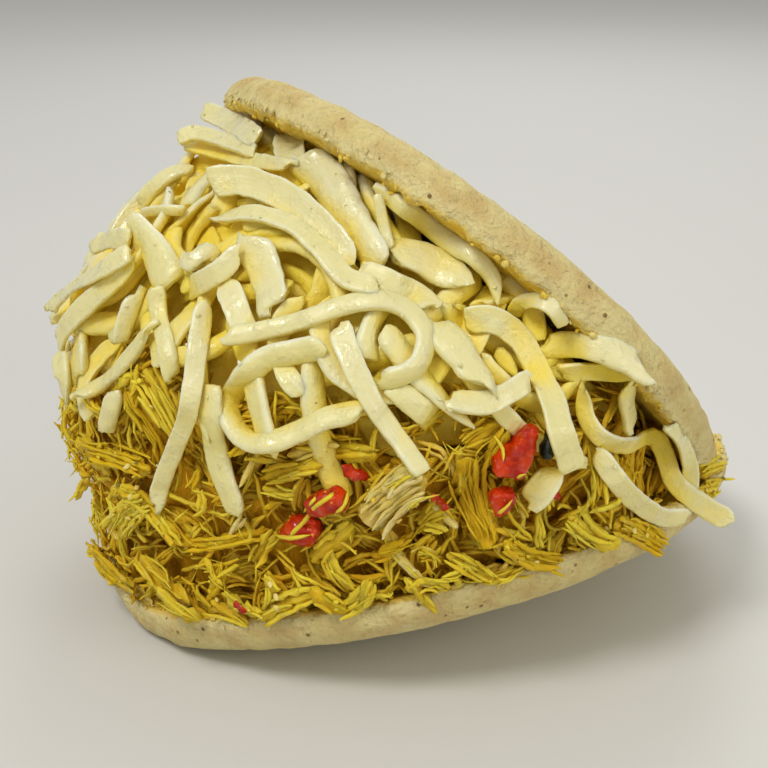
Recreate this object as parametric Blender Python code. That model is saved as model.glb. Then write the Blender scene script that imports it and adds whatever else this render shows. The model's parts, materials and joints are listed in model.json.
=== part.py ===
"""A split corn cake filled with shredded chicken and thick-grated cheese.

The cake is one disc, slit from the side and still whole along a hinge at its right-hand back, so that its
two halves gape like a clam to the left and the front. The lower half lies on its belly and curls up at the
front right. The upper half rises over the filling. Chicken fills the lower part of the gap, a tall heap of
cheese strands the upper part, and pieces of red pepper and one of green pepper sit between the two.
"""

import math

import bmesh
import bpy
import numpy as np
from mathutils import Vector, noise

MM = 0.001
GAP = 0.3 * MM  # between pieces that touch
HEAP_GAP = 0.55 * MM  # between the plain faces of the heap and the cake

# The corn cake
CAKE_RADIUS = 60 * MM
HALF_THICKNESS = 7 * MM
SKIN_CORNER = 4.2 * MM  # the round outer edge of each half
CUT_CORNER = 1.0 * MM  # the sharper edge that the knife left
RIM_WAVES = ((3, 0.010), (7, 0.006))  # the hand-patted rim: waves round it, and their share of the radius
LOWER_PHASE = 0.6
UPPER_PHASE = 2.2
CAKE_SEGMENTS = 44
CUT_RINGS = (0, 0.35, 0.6, 0.82)  # shares of the radius
SKIN_RINGS = (0.8, 0.6, 0.35, 0)

# How the two halves lie: the hinge is at the end of a radius of the lower half
HINGE_DISTANCE = 53.4 * MM
HINGE_HEIGHT = 11 * MM
HINGE_TURN = math.radians(15)  # from +X, seen from above
GAPE_AT_HINGE = math.radians(51.7)  # the upper half is steepest at the hinge and flatter at its tip
GAPE_AT_TIP = math.radians(36)
UPPER_ROLL = math.radians(9)  # the front of the upper half is raised
UPPER_CENTRE = 58 * MM  # from the hinge, along the upper half
HINGE_TUCK = 0.07  # the upper half's rim is drawn in at the hinge, where it grows out of the lower half
TUCK_SPREAD = math.radians(26)

# How the lower half curls up: a slope to the right and the front that fades to a flat belly
RISE_RIGHT = 0.23
RISE_FRONT = 0.19
RISE_AT_CENTRE = 2.5 * MM
BELLY_SINK = 0.2
BELLY_BLEND = 2.5 * MM

# The heap: a side wall from the lower half's rim to the upper half's rim
HEAP_SEGMENTS = 44
WALL_RINGS = 13
LOWER_INSET = 2.5 * MM
UPPER_INSET = 3.5 * MM
HINGE_INSET = 19 * MM  # how much further in the heap ends beside the hinge
INSET_TURN = math.radians(6)
INSET_SPREAD = math.radians(38)
BULGE_MOUTH = 20.5 * MM  # how far the heap spills out of the mouth
BULGE_SIDES = 6 * MM
BULGE_SPREAD = math.radians(52)
BULGE_BELOW = 2  # powers that shape the bulge under and over its fullest height
BULGE_ABOVE = 1.5
CHICKEN_SPILL = 4.5 * MM  # how far the chicken overhangs the lower rim at the mouth
SPILL_TOP = 0.42  # share of the wall's height
SPILL_SPREAD = math.radians(45)
WALL_LUMPS = ((12 * MM, 2.4 * MM), (6 * MM, 1.2 * MM))  # size of the lumps, and how far they stand out
LUMPS_FADE = 5  # the lumps fade out within one over this share of the wall's height from both rims
CHICKEN_LEAST = 0.37  # share of the wall's height that is chicken
CHICKEN_MORE = 0.20  # how much more of it is chicken at the front
CHICKEN_FRONT = math.radians(78)  # from the hinge
CHICKEN_SPREAD = math.radians(45)
CENTRE_OF_CHICKEN = 38 * MM  # height of the chicken inside the heap
FLOOR_RINGS = (0.25, 0.45, 0.62, 0.78, 0.9)  # shares of the way out from the middle
CHICKEN_TOP_RINGS = (0.85, 0.6, 0.3)
CEILING_RINGS = (0.88, 0.7, 0.5, 0.25)

TOWARD = Vector((math.cos(HINGE_TURN), math.sin(HINGE_TURN), 0))
ACROSS = Vector((math.sin(HINGE_TURN), -math.cos(HINGE_TURN), 0))
HINGE = TOWARD * HINGE_DISTANCE + Vector((0, 0, HINGE_HEIGHT))
UPPER_SIDE = ACROSS * math.cos(UPPER_ROLL) + Vector((0, 0, math.sin(UPPER_ROLL)))
GAPE_RATE = (GAPE_AT_TIP - GAPE_AT_HINGE) / (2 * UPPER_CENTRE)


def clear_scene():
    for obj in list(bpy.data.objects):
        bpy.data.objects.remove(obj, do_unlink=True)


def material(name, colour, roughness):
    made = bpy.data.materials.new(name)
    made.use_nodes = True
    shader = made.node_tree.nodes["Principled BSDF"]
    shader.inputs["Base Color"].default_value = (*colour, 1)
    shader.inputs["Roughness"].default_value = roughness
    shader.inputs["Metallic"].default_value = 0
    made.diffuse_color = (*colour, 1)
    return made


def link_solid(name, body, finish):
    """Makes an object of a closed shape, with its faces turned outwards."""
    if body.calc_volume(signed=True) < 0:
        bmesh.ops.reverse_faces(body, faces=body.faces)
    mesh = bpy.data.meshes.new(name)
    body.to_mesh(mesh)
    body.free()
    mesh.shade_smooth()
    mesh.materials.append(finish)
    obj = bpy.data.objects.new(name, mesh)
    bpy.context.scene.collection.objects.link(obj)
    return obj


def solid_of_rings(name, rings, finish):
    """A closed solid from rings of points with a single point at each end."""
    body = bmesh.new()
    made = [[body.verts.new(point) for point in ring] for ring in rings]
    count = len(rings[1])
    for low, high in zip(made, made[1:]):
        for i in range(count):
            j = (i + 1) % count
            corners = [low[i % len(low)], low[j % len(low)], high[j % len(high)], high[i % len(high)]]
            body.faces.new(list(dict.fromkeys(corners)))
    return link_solid(name, body, finish)


def boolean(obj, other, operation, solver="EXACT"):
    """Joins or cuts obj with a helper, which no longer counts as a piece of its own."""
    step = obj.modifiers.new(operation.lower(), "BOOLEAN")
    step.operation = operation
    step.solver = solver
    step.object = other
    other.hide_render = True
    other.display_type = "WIRE"


def smooth_bump(distance, width):
    return math.exp(-((distance / width) ** 2))


# --- The corn cake ---


def belly_height(x, y):
    """Height of the lower half's outer skin: zero under the belly, rising to the right and the front."""
    sink = BELLY_SINK * (CAKE_RADIUS - math.hypot(x, y))
    slope = RISE_RIGHT * x - RISE_FRONT * y + RISE_AT_CENTRE - sink
    if slope < -BELLY_BLEND:
        return 0
    if slope > BELLY_BLEND:
        return slope
    return (slope + BELLY_BLEND) ** 2 / (4 * BELLY_BLEND)


def lower_point(radius, turn, up):
    """A point of the lower half: radius and turn from the hinge direction, up from the outer skin."""
    flat = (TOWARD * math.cos(turn) + ACROSS * math.sin(turn)) * radius
    return Vector((flat.x, flat.y, belly_height(flat.x, flat.y) + up))


def upper_point(radius, turn, out):
    """A point of the upper half: radius and turn as on the lower half, out from its middle layer."""
    along = UPPER_CENTRE - radius * math.cos(turn)
    gape = GAPE_AT_HINGE + GAPE_RATE * along
    back = (math.sin(gape) - math.sin(GAPE_AT_HINGE)) / GAPE_RATE
    rise = (math.cos(GAPE_AT_HINGE) - math.cos(gape)) / GAPE_RATE
    along_skin = Vector((0, 0, math.sin(gape))) - TOWARD * math.cos(gape)
    outward = along_skin.cross(UPPER_SIDE).normalized()
    spot = HINGE - TOWARD * back + Vector((0, 0, rise)) + UPPER_SIDE * radius * math.sin(turn)
    return spot + outward * out


def half_profile():
    """Radius and height of a half cake, from the middle of its cut face round to the middle of its skin."""
    half = HALF_THICKNESS / 2
    cut_face = [(CAKE_RADIUS * share, -half) for share in CUT_RINGS]
    skin_face = [(CAKE_RADIUS * share, half) for share in SKIN_RINGS]
    cut_corner = []
    for degrees in (-90, -45, 0):
        angle = math.radians(degrees)
        inward = CAKE_RADIUS - CUT_CORNER * (1 - math.cos(angle))
        cut_corner.append((inward, CUT_CORNER - half + CUT_CORNER * math.sin(angle)))
    skin_corner = []
    for degrees in (0, 30, 60, 90):
        angle = math.radians(degrees)
        inward = CAKE_RADIUS - SKIN_CORNER * (1 - math.cos(angle))
        skin_corner.append((inward, half - SKIN_CORNER + SKIN_CORNER * math.sin(angle)))
    return cut_face + cut_corner + skin_corner + skin_face


def edge_wander(turn, phase):
    """The hand-patted rim isn't quite round."""
    swings = enumerate(RIM_WAVES, 1)
    return 1 + sum(height * math.sin(waves * turn + k * phase) for k, (waves, height) in swings)


def turn_from(turn, other):
    """How far round a turn is from another, from minus to plus half a turn."""
    return math.atan2(math.sin(turn - other), math.cos(turn - other))


def hinge_tuck(turn):
    return 1 - HINGE_TUCK * smooth_bump(turn_from(turn, 0), TUCK_SPREAD)


def cake_half(name, place, phase, finish, grow=0.0):
    """One half; grow makes it larger all round."""
    rings = []
    for radius, height in half_profile():
        count = CAKE_SEGMENTS if radius > 0 else 1
        turns = [2 * math.pi * i / count for i in range(count)]
        radius *= 1 + grow / CAKE_RADIUS
        height *= 1 + grow / (HALF_THICKNESS / 2)
        rings.append([place(radius * edge_wander(turn, phase), turn, height) for turn in turns])
    return solid_of_rings(name, rings, finish)


def lower_place(radius, turn, height):
    return lower_point(radius, turn, HALF_THICKNESS / 2 - height)


def upper_place(radius, turn, height):
    return upper_point(radius * hinge_tuck(turn), turn, height)


def make_cake():
    """The whole cake, and a slightly larger copy of each half to cut the heap with."""
    crust = material("corn_cake", (0.80, 0.66, 0.36), 0.75)
    halves = (
        ("arepa", "lower_bed", lower_place, LOWER_PHASE),
        ("upper_half", "upper_bed", upper_place, UPPER_PHASE),
    )
    cake, upper = [cake_half(name, place, phase, crust) for name, _, place, phase in halves]
    boolean(cake, upper, "UNION")
    return [cake_half(bed, place, phase, crust, GAP) for _, bed, place, phase in halves]


# --- The heap between the halves ---


def rim_inset(turn):
    """How far inside the rim the heap starts: far in beside the hinge, where the halves meet."""
    return HINGE_INSET * smooth_bump(turn_from(turn, 0) - INSET_TURN, INSET_SPREAD)


def belly(share):
    """How much of the bulge there is at a share of the wall's height: all of it a little over the middle."""
    fullest = BULGE_BELOW / (BULGE_BELOW + BULGE_ABOVE)
    above = max(0, 1 - share) / (1 - fullest)
    return (share / fullest) ** BULGE_BELOW * above ** BULGE_ABOVE


def chicken_spill(share, from_mouth):
    """How far the chicken overhangs the lower rim."""
    swell = math.sin(math.pi * min(1, share / SPILL_TOP))
    return CHICKEN_SPILL * swell * smooth_bump(from_mouth, SPILL_SPREAD)


def wall_point(turn, share, stand_off=0.0):
    """A point of the heap's side wall, at a share of the height from the lower to the upper half."""
    inset = rim_inset(turn)
    foot = lower_point(CAKE_RADIUS - LOWER_INSET - inset, turn, HALF_THICKNESS + HEAP_GAP)
    head = upper_point(CAKE_RADIUS - UPPER_INSET - inset, turn, -HALF_THICKNESS / 2 - HEAP_GAP)
    from_mouth = turn_from(turn, math.pi)
    bulge = BULGE_SIDES + (BULGE_MOUTH - BULGE_SIDES) * smooth_bump(from_mouth, BULGE_SPREAD)
    bulge *= 1 - inset / HINGE_INSET
    outward = TOWARD * math.cos(turn) + ACROSS * math.sin(turn)
    spot = foot.lerp(head, share)
    lumps = sum(height * noise.noise(spot / size) for size, height in WALL_LUMPS)
    lumps *= min(1, LUMPS_FADE * share, LUMPS_FADE * (1 - share))
    return spot + outward * (bulge * belly(share) + chicken_spill(share, from_mouth) + lumps + stand_off)


def chicken_share(turn):
    """The share of the wall that is chicken: most at the front, least at the mouth."""
    return CHICKEN_LEAST + CHICKEN_MORE * smooth_bump(turn_from(turn, CHICKEN_FRONT), CHICKEN_SPREAD)


def chicken_top(turn, share_out, up):
    """A point of the face where the chicken ends and the cheese begins."""
    edge = wall_point(turn, chicken_share(turn))
    bend = share_out ** 2
    height = edge.z * bend + CENTRE_OF_CHICKEN * (1 - bend)
    return Vector((edge.x * share_out, edge.y * share_out, height + up))


def heap_turns(count):
    return [2 * math.pi * i / count for i in range(count)]


def make_chicken():
    meat = material("shredded_chicken", (0.60, 0.40, 0.05), 0.6)
    turns = heap_turns(HEAP_SEGMENTS)
    floor_radius = CAKE_RADIUS - LOWER_INSET
    rings = [[lower_point(0, 0, HALF_THICKNESS + HEAP_GAP)]]
    for share in FLOOR_RINGS:
        ring = []
        for turn in turns:
            radius = share * (floor_radius - rim_inset(turn))
            ring.append(lower_point(radius, turn, HALF_THICKNESS + HEAP_GAP))
        rings.append(ring)
    steps = WALL_RINGS // 2
    for i in range(steps + 1):
        rings.append([wall_point(turn, chicken_share(turn) * i / steps) for turn in turns])
    for share_out in CHICKEN_TOP_RINGS:
        rings.append([chicken_top(turn, share_out, 0) for turn in turns])
    rings.append([chicken_top(0, 0, 0)])
    return solid_of_rings("shredded_chicken", rings, meat)


def make_cheese():
    cheese = material("grated_cheese", (0.87, 0.76, 0.40), 0.4)
    turns = heap_turns(HEAP_SEGMENTS)
    rings = [[chicken_top(0, 0, GAP)]]
    for share_out in reversed(CHICKEN_TOP_RINGS):
        rings.append([chicken_top(turn, share_out, GAP) for turn in turns])
    steps = WALL_RINGS - WALL_RINGS // 2
    for i in range(steps + 1):
        ring = []
        for turn in turns:
            low = chicken_share(turn)
            lift = Vector((0, 0, GAP)) * (1 - i / steps)
            ring.append(wall_point(turn, low + (1 - low) * i / steps) + lift)
        rings.append(ring)
    for share in CEILING_RINGS:
        ring = []
        for turn in turns:
            radius = share * (CAKE_RADIUS - UPPER_INSET - rim_inset(turn))
            ring.append(upper_point(radius, turn, -HALF_THICKNESS / 2 - HEAP_GAP))
        rings.append(ring)
    rings.append([upper_point(0, 0, -HALF_THICKNESS / 2 - HEAP_GAP)])
    return solid_of_rings("grated_cheese", rings, cheese)


# --- Strands, shreds and pepper pieces on the wall of the heap ---

# Cheese strands that stand out: width in mm, then the route as degrees round from the hinge, percent of
# the wall's height and mm off the wall
CHEESE_STRANDS = (
    (4.2, ((143, 68, 1), (135, 74, 1), (126, 82, 1), (117, 80, 1), (115, 71, 1), (121, 65, 1))),
    (5.0, ((125, 71, -1), (136, 66, 1), (139, 56, 1), (135, 48, 1), (122, 59, -1))),
    (3.6, ((148, 76, -1), (146, 60, 1), (144, 46, 1.5), (148, 28, 1.5))),
    (4.6, ((142, 62, -1), (140, 45, 1.5), (136, 29, 1.5))),
    (4.0, ((129, 76, -1), (121, 62, 1), (111, 44, 1.5))),
    (5.2, ((114, 85, -1), (104, 86, 1), (94, 72, 1), (87, 50, 1.5))),
    (4.4, ((86, 91, -1), (84, 74, 1), (73, 60, 1.5), (58, 30, 4), (52, 2, 9), (49, -22, 10))),
    (3.6, ((80, 70, -1), (64, 36, 2), (56, 12, 6))),
    (4.4, ((187, 97, 4), (174, 98, 1.5), (158, 94, -1.5))),
    (4.4, ((184, 91, 2), (164, 91, 1), (144, 90, -1.5))),
    (4.0, ((178, 81, 1.5), (170, 87, 1), (157, 84, -1.5))),
    (4.2, ((184, 58, 2), (173, 70, 1), (164, 77, -1.5))),
    (4.2, ((176, 53, 2), (165, 65, 1), (158, 71, -1.5))),
    (3.4, ((168, 44, 2), (157, 56, 1), (152, 65, -1.5))),
    (4.6, ((164, 34, 2), (161, 46, 1.5), (157, 56, -1.5))),
    (4.6, ((153, 96, 1), (140, 93, 1), (128, 85, -1.5))),
)
CHEESE_THICKNESS = 2.4 * MM
# The far side carries strands like those of the near side: evenly spaced, swaying each its own way
BACK_STRANDS = 8
BACK_WIDTH = 4.2
BACK_FIRST = 204  # degrees from the hinge
BACK_SPACING = 15
BACK_SWAY = 7
BACK_HEAD = 88  # percent of the wall's height
BACK_FOOT = 34
BACK_FOOT_VARIES = 9
# Chicken shreds that stand out, in the same terms
CHICKEN_SHREDS = (
    (3.0, ((156, 28, -1), (153, 46, 2), (152, 58, 3))),
    (2.6, ((176, 24, -1), (184, 22, 2), (194, 19, 4))),
    (2.6, ((162, 26, -1), (168, 20, 2), (176, 14, 4))),
    (2.4, ((76, 18, -1), (68, 8, 3), (63, -8, 7))),
    (2.4, ((112, 14, -1), (106, 6, 4), (101, -4, 7))),
    (2.6, ((230, 20, -1), (224, 14, 3), (218, 8, 5))),
    (2.6, ((268, 22, -1), (262, 16, 2), (254, 9, 4))),
)
SHRED_THICKNESS = 1.8 * MM
SECTION_SIDES = 6
STRAND_TIP = 0.62  # how far a strand's ends are drawn in
RING_STEP = 7.5 * MM
CURVE_STEPS = 8  # spots between two keys of a route
TURN_STEP = 0.05  # how far to each side the lie of the wall is measured
SHARE_STEP = 0.04

# Pepper pieces: name, degrees round, percent of the height, size in mm along, up and out, degrees that the
# top leans to the right, and how much narrower than its middle the top is
PEPPERS = (
    ("red_pepper_1", 98.2, 56, (4.9, 9.6, 4.4), 11, 0.4),
    ("red_pepper_2", 98.2, 37.5, (3.6, 5.2, 3.8), -14, -0.3),
    ("red_pepper_3", 126.2, 25, (7.2, 4.8, 4.0), 10, 0.1),
    ("red_pepper_4", 122.6, 35.5, (7.0, 4.4, 3.8), -24, 0.15),
    ("green_pepper", 93.4, 61.5, (2.6, 6.0, 3.0), 8, 0),
)
PEPPER_OFF = 0.6  # mm from the wall to the middle of a piece
PEPPER_CORNERS = 0.6  # 1 is round, 0 is square
PEPPER_DENT = 0.12
PEPPER_DENTS = 1.7  # across a piece


def wall_frame(degrees, percent, off_mm=0.0):
    """A spot on the wall, with the directions along it to the left, up it, and out of it."""
    turn = math.radians(degrees)
    share = percent / 100
    spot = wall_point(turn, share, off_mm * MM)
    left = wall_point(turn + TURN_STEP, share) - wall_point(turn - TURN_STEP, share)
    above = wall_point(turn, min(1, share + SHARE_STEP))
    rise = above - wall_point(turn, max(0, share - SHARE_STEP))
    out = left.cross(rise).normalized()
    if out.dot(spot - Vector((0, 0, spot.z))) < 0:
        out.negate()
    return spot, left.normalized(), rise.normalized(), out


def smooth_route(keys):
    """Evenly spaced spots on a smooth curve through the keys, each with the wall's outward direction."""
    line = [np.array(key, float) for key in keys]
    line = [2 * line[0] - line[1]] + line + [2 * line[-1] - line[-2]]
    spots = []
    for before, start, end, after in zip(line, line[1:], line[2:], line[3:]):
        for step in range(CURVE_STEPS):
            t = step / CURVE_STEPS
            bend = (2 * before - 5 * start + 4 * end - after) * t ** 2
            twist = (3 * start - before - 3 * end + after) * t ** 3
            spots.append(start + 0.5 * ((end - before) * t + bend + twist))
    spots.append(line[-2])
    frames = [wall_frame(*spot) for spot in spots]
    points = [frame[0] for frame in frames]
    outs = [frame[3] for frame in frames]
    lengths = [0.0]
    for here, there in zip(points, points[1:]):
        lengths.append(lengths[-1] + (there - here).length)
    count = max(4, round(lengths[-1] / RING_STEP) + 1)
    route = []
    for i in range(count):
        reach = lengths[-1] * i / (count - 1)
        k = next(k for k in range(1, len(lengths)) if lengths[k] >= reach - 1e-9)
        t = (reach - lengths[k - 1]) / (lengths[k] - lengths[k - 1])
        route.append((points[k - 1].lerp(points[k], t), outs[k - 1].lerp(outs[k], t).normalized()))
    return route


def strand(name, width, thickness, keys, finish, grow=0.0):
    """A flat-round strand along the wall, with ends drawn in; grow makes it larger all round."""
    route = smooth_route(keys)
    rings = []
    last = len(route) - 1
    for i, (spot, out) in enumerate(route):
        along = (route[min(last, i + 1)][0] - route[max(0, i - 1)][0]).normalized()
        side = along.cross(out).normalized()
        face = side.cross(along)
        taper = STRAND_TIP if i in (0, last) else 1
        spot = spot + along * grow * ((i == last) - (i == 0))
        ring = []
        for k in range(SECTION_SIDES):
            angle = 2 * math.pi * (k + 0.5) / SECTION_SIDES
            across = (width / 2 * taper + grow) * math.cos(angle) / math.cos(math.pi / SECTION_SIDES)
            deep = (thickness / 2 * taper + grow) * math.sin(angle)
            ring.append(spot + side * across + face * deep)
        rings.append(ring)
    ends = [[sum(ring, Vector()) / SECTION_SIDES] for ring in (rings[0], rings[-1])]
    return solid_of_rings(name, [ends[0]] + rings + [ends[1]], finish)


def back_strands():
    for i in range(BACK_STRANDS):
        turn = BACK_FIRST + BACK_SPACING * i
        sway = BACK_SWAY * math.sin(2.4 * i)
        foot = BACK_FOOT + BACK_FOOT_VARIES * math.sin(1.7 * i + 1)
        middle = (foot + BACK_HEAD) / 2
        yield BACK_WIDTH, ((turn, BACK_HEAD, -1.5), (turn + sway, middle, 1), (turn + sway / 2, foot, 1.5))


def pepper(name, degrees, percent, size, lean, narrowing, finish, grow=0.0):
    """A soft-cornered, slightly dented wedge of pepper lying on the wall."""
    spot, left, rise, out = wall_frame(degrees, percent, PEPPER_OFF)
    body = bmesh.new()
    bmesh.ops.create_icosphere(body, subdivisions=2, radius=1)
    for corner in body.verts:
        unit = [math.copysign(abs(value) ** PEPPER_CORNERS, value) for value in corner.co]
        dents = noise.noise(corner.co * PEPPER_DENTS + Vector((degrees, percent, 0)))
        half = [edge / 2 * MM * (1 + PEPPER_DENT * dents) for edge in size]
        along = (half[0] * (1 - narrowing * unit[1]) + grow) * unit[0]
        up = (half[1] + grow) * unit[1]
        deep = (half[2] + grow) * unit[2]
        angle = math.radians(lean)
        across = along * math.cos(angle) - up * math.sin(angle)
        above = along * math.sin(angle) + up * math.cos(angle)
        corner.co = spot + left * across + rise * above + out * deep
    return link_solid(name, body, finish)


def dress_heap(chicken, cheese, cake_beds):
    """Strands join the cheese, shreds join the chicken, and each piece makes its bed in what it lies on."""
    finish = cheese.data.materials[0]
    strands = list(CHEESE_STRANDS) + list(back_strands())
    for i, (width, keys) in enumerate(CHICKEN_SHREDS):
        shred = strand(f"shred_{i}", width * MM, SHRED_THICKNESS, keys, chicken.data.materials[0])
        boolean(chicken, shred, "UNION", "MANIFOLD")
        bed = strand(f"shred_bed_{i}", width * MM, SHRED_THICKNESS, keys, finish, GAP)
        boolean(cheese, bed, "DIFFERENCE", "MANIFOLD")
    for i, (width, keys) in enumerate(strands):
        piece = strand(f"strand_{i}", width * MM, CHEESE_THICKNESS, keys, finish)
        boolean(cheese, piece, "UNION", "MANIFOLD")
        bed = strand(f"strand_bed_{i}", width * MM, CHEESE_THICKNESS, keys, finish, GAP)
        boolean(chicken, bed, "DIFFERENCE", "MANIFOLD")
    red = material("red_pepper", (0.62, 0.03, 0.01), 0.3)
    green = material("green_pepper", (0.01, 0.03, 0.01), 0.3)
    for name, *shape in PEPPERS:
        finish = green if name.startswith("green") else red
        pepper(name, *shape, finish)
        bed = pepper(name + "_bed", *shape, finish, GAP)
        boolean(chicken, bed, "DIFFERENCE", "MANIFOLD")
        boolean(cheese, bed, "DIFFERENCE", "MANIFOLD")
    for heap in (chicken, cheese):
        for bed in cake_beds:
            boolean(heap, bed, "DIFFERENCE", "MANIFOLD")


def main():
    clear_scene()
    cake_beds = make_cake()
    dress_heap(make_chicken(), make_cheese(), cake_beds)


main()
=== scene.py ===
"""Looks of a split and filled corn cake: pale corn bread, yellow shredded chicken, grated
white cheese and a few bits of pepper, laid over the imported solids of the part."""

import json
import math

import bmesh
import bpy
import numpy as np
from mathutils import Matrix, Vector, kdtree, noise
from mathutils.bvhtree import BVHTree

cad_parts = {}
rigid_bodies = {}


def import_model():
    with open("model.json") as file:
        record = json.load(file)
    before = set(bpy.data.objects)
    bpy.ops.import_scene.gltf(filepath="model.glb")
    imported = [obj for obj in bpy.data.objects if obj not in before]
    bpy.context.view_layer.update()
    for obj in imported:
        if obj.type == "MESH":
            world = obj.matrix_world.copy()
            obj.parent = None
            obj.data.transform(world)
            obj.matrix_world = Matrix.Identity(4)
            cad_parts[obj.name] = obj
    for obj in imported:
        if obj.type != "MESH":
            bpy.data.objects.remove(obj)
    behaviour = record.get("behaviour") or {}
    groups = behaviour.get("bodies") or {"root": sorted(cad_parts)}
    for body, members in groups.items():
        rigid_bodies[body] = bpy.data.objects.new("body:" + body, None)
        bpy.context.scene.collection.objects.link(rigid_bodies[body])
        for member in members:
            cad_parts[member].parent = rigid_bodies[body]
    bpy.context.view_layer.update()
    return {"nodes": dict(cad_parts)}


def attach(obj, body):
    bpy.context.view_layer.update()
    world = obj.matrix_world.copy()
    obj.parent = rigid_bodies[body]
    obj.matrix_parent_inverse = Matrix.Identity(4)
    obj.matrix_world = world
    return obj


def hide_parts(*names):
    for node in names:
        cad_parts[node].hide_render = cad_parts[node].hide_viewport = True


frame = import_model()

MM = 0.001

# ---------------------------------------------------------------------------
# The view. The filled cake is looked at a little from above, with its mouth to the left.
# The eye stands first, because the strands on top are laid where it sees them.
LOOK_AT = np.array((-5.0, 0.0, 34.0)) * MM
EYE_DISTANCE = 275 * MM
EYE_RISE = math.radians(20.2)
FIELD_OF_VIEW = math.radians(30)
FILM_WIDTH = 36
NEAREST_SEEN = 10 * MM
FORWARD = np.array((0.0, math.cos(EYE_RISE), -math.sin(EYE_RISE)))
RIGHT = np.array((1.0, 0.0, 0.0))
UPWARD = np.array((0.0, math.sin(EYE_RISE), math.cos(EYE_RISE)))
EYE = LOOK_AT - FORWARD * EYE_DISTANCE

camera = bpy.data.objects.new("eye", bpy.data.cameras.new("eye"))
camera.data.sensor_width = FILM_WIDTH
camera.data.lens = FILM_WIDTH / 2 / math.tan(FIELD_OF_VIEW / 2)
camera.data.clip_start = NEAREST_SEEN
camera.location = EYE
camera.rotation_euler = (math.pi / 2 - EYE_RISE, 0, 0)
bpy.context.scene.collection.objects.link(camera)
bpy.context.scene.camera = camera

# ---------------------------------------------------------------------------
# The corn cake. A flat round cake of corn dough, 120 mm across, cooked on a griddle, split
# with a knife and opened. Its skin is dry and finely grained with a few dark flecks of bran.
# Torn crumb shows along both rims, and the filling's oil has stained the inside yellow. That
# yellow is made brighter as painted light that comes off and through the filling.
CAKE_VOXEL = 1.0 * MM
CAKE_SMOOTHING = 3
HEAP_MIDDLE = np.array((-12.0, 0.0, 32.0)) * MM
CRUMB_RELIEF = [(2.6 * MM, 0.9 * MM, 0), (1.5 * MM, 0.5 * MM, 1)]
SKIN_RELIEF = [(9 * MM, 0.35 * MM, 2), (2.6 * MM, 0.22 * MM, 3)]
TEETH_SHARE = [(1.5 * MM, 1.0, 4), (2.6 * MM, 0.3, 5)]
TEETH_LENGTH = 3.2 * MM
# From full to none, by the distance from the rim, and the height above the table.
CRUMB_REACH = (0.3 * MM, 3.0 * MM)
OIL_REACH = (0.2 * MM, 7 * MM)
FOOT_HEIGHT = (0.2 * MM, 2 * MM)
# By how squarely the skin faces the heap, from -1 for the outside to 1.
RIM_FACING = 0.12
TEETH_FACING = (-0.5, 0.2)
OIL_FACING = (-0.6, 0.1)
INSIDE_FACING = (0.1, 0.35)
TOASTED_FACING = (0.72, 0.95)
BLOTCH_SIZE = 11 * MM
TOAST_SIZE = 5 * MM
GRIT_SIZE = 0.9 * MM
BRAN_SPACING = 3.0 * MM
BRAN_SPOT = (0.09, 0.16)
BRAN_PATCH_SIZE = 6 * MM
STAIN_SIZE = 7 * MM
PIT_SPACING = 1.1 * MM
DIMPLE_SIZE = 2.4 * MM
SKIN_PALE = (0.70, 0.60, 0.26, 1)
SKIN_WARM = (0.66, 0.52, 0.18, 1)
SKIN_TOASTED = (0.58, 0.40, 0.15, 1)
SKIN_BRAN = (0.20, 0.10, 0.03, 1)
CRUMB_WHITE = (0.84, 0.74, 0.40, 1)
# The oil's stain, brightened as painted light that comes off the filling.
OIL_AND_BOUNCE_YELLOW = (0.91, 0.62, 0.03, 1)
OIL_DEEP = (0.91, 0.53, 0.012, 1)


def cad_mesh(node):
    """A copy of a CAD node's mesh with its triangles joined up."""
    mesh = frame["nodes"][node].data.copy()
    work = bmesh.new()
    work.from_mesh(mesh)
    bmesh.ops.remove_doubles(work, verts=work.verts, dist=MM / 1000)
    work.to_mesh(mesh)
    work.free()
    return mesh


def plain_mesh(mesh, modifiers):
    """The mesh with those modifiers applied: [(type, settings, inputs of its own tree)]."""
    helper = bpy.data.objects.new("helper", mesh)
    bpy.context.scene.collection.objects.link(helper)
    for kind, settings, inputs in modifiers:
        modifier = helper.modifiers.new(kind, kind)
        for name, value in settings.items():
            setattr(modifier, name, value)
        for identifier, value in inputs.items():
            modifier[identifier] = value
    graph = bpy.context.evaluated_depsgraph_get()
    made = bpy.data.meshes.new_from_object(helper.evaluated_get(graph))
    bpy.data.objects.remove(helper)
    return made


def even_mesh(node, voxel, smoothing):
    """A CAD node skinned again with even faces of that size."""
    even = {"mode": "VOXEL", "voxel_size": voxel}
    soft = {"factor": 0.5, "iterations": smoothing}
    return plain_mesh(cad_mesh(node), [("REMESH", even, {}), ("SMOOTH", soft, {})])


def rows_of(items, name, width):
    """What each item of a mesh has under that name, in rows of that width."""
    values = np.empty(len(items) * width, np.float32)
    items.foreach_get(name, values)
    return values.reshape(-1, width)


def points_of(mesh):
    return rows_of(mesh.vertices, "co", 3).astype(float)


def normals_of(mesh):
    return rows_of(mesh.vertex_normals, "vector", 3).astype(float)


def move_points(mesh, points):
    mesh.vertices.foreach_set("co", points.astype(np.float32).ravel())
    mesh.update()


def mark(mesh, name, values):
    """Keeps a value for each vertex, which a material reads by that name."""
    attribute = mesh.attributes.new(name, "FLOAT", "POINT")
    attribute.data.foreach_set("value", np.asarray(values, np.float32))


SEEDS_APART = 17.3


def lumps(points, size, seed=0):
    """A smooth random height from about -1 to 1 at each point, with lumps of that size."""
    placed = points / size + seed * SEEDS_APART
    return np.array([noise.noise(Vector(p)) for p in placed])


def relief(points, waves):
    """The height at each point of several waves: [(size, height, seed)]."""
    return sum(height * lumps(points, size, seed) for size, height, seed in waves)


def unit(vectors):
    return vectors / np.linalg.norm(vectors, axis=-1, keepdims=True)


def smooth_step(values, low, high):
    """0 below low, 1 above high and smooth between them."""
    share = np.clip((values - low) / (high - low), 0, 1)
    return share * share * (3 - 2 * share)


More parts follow.
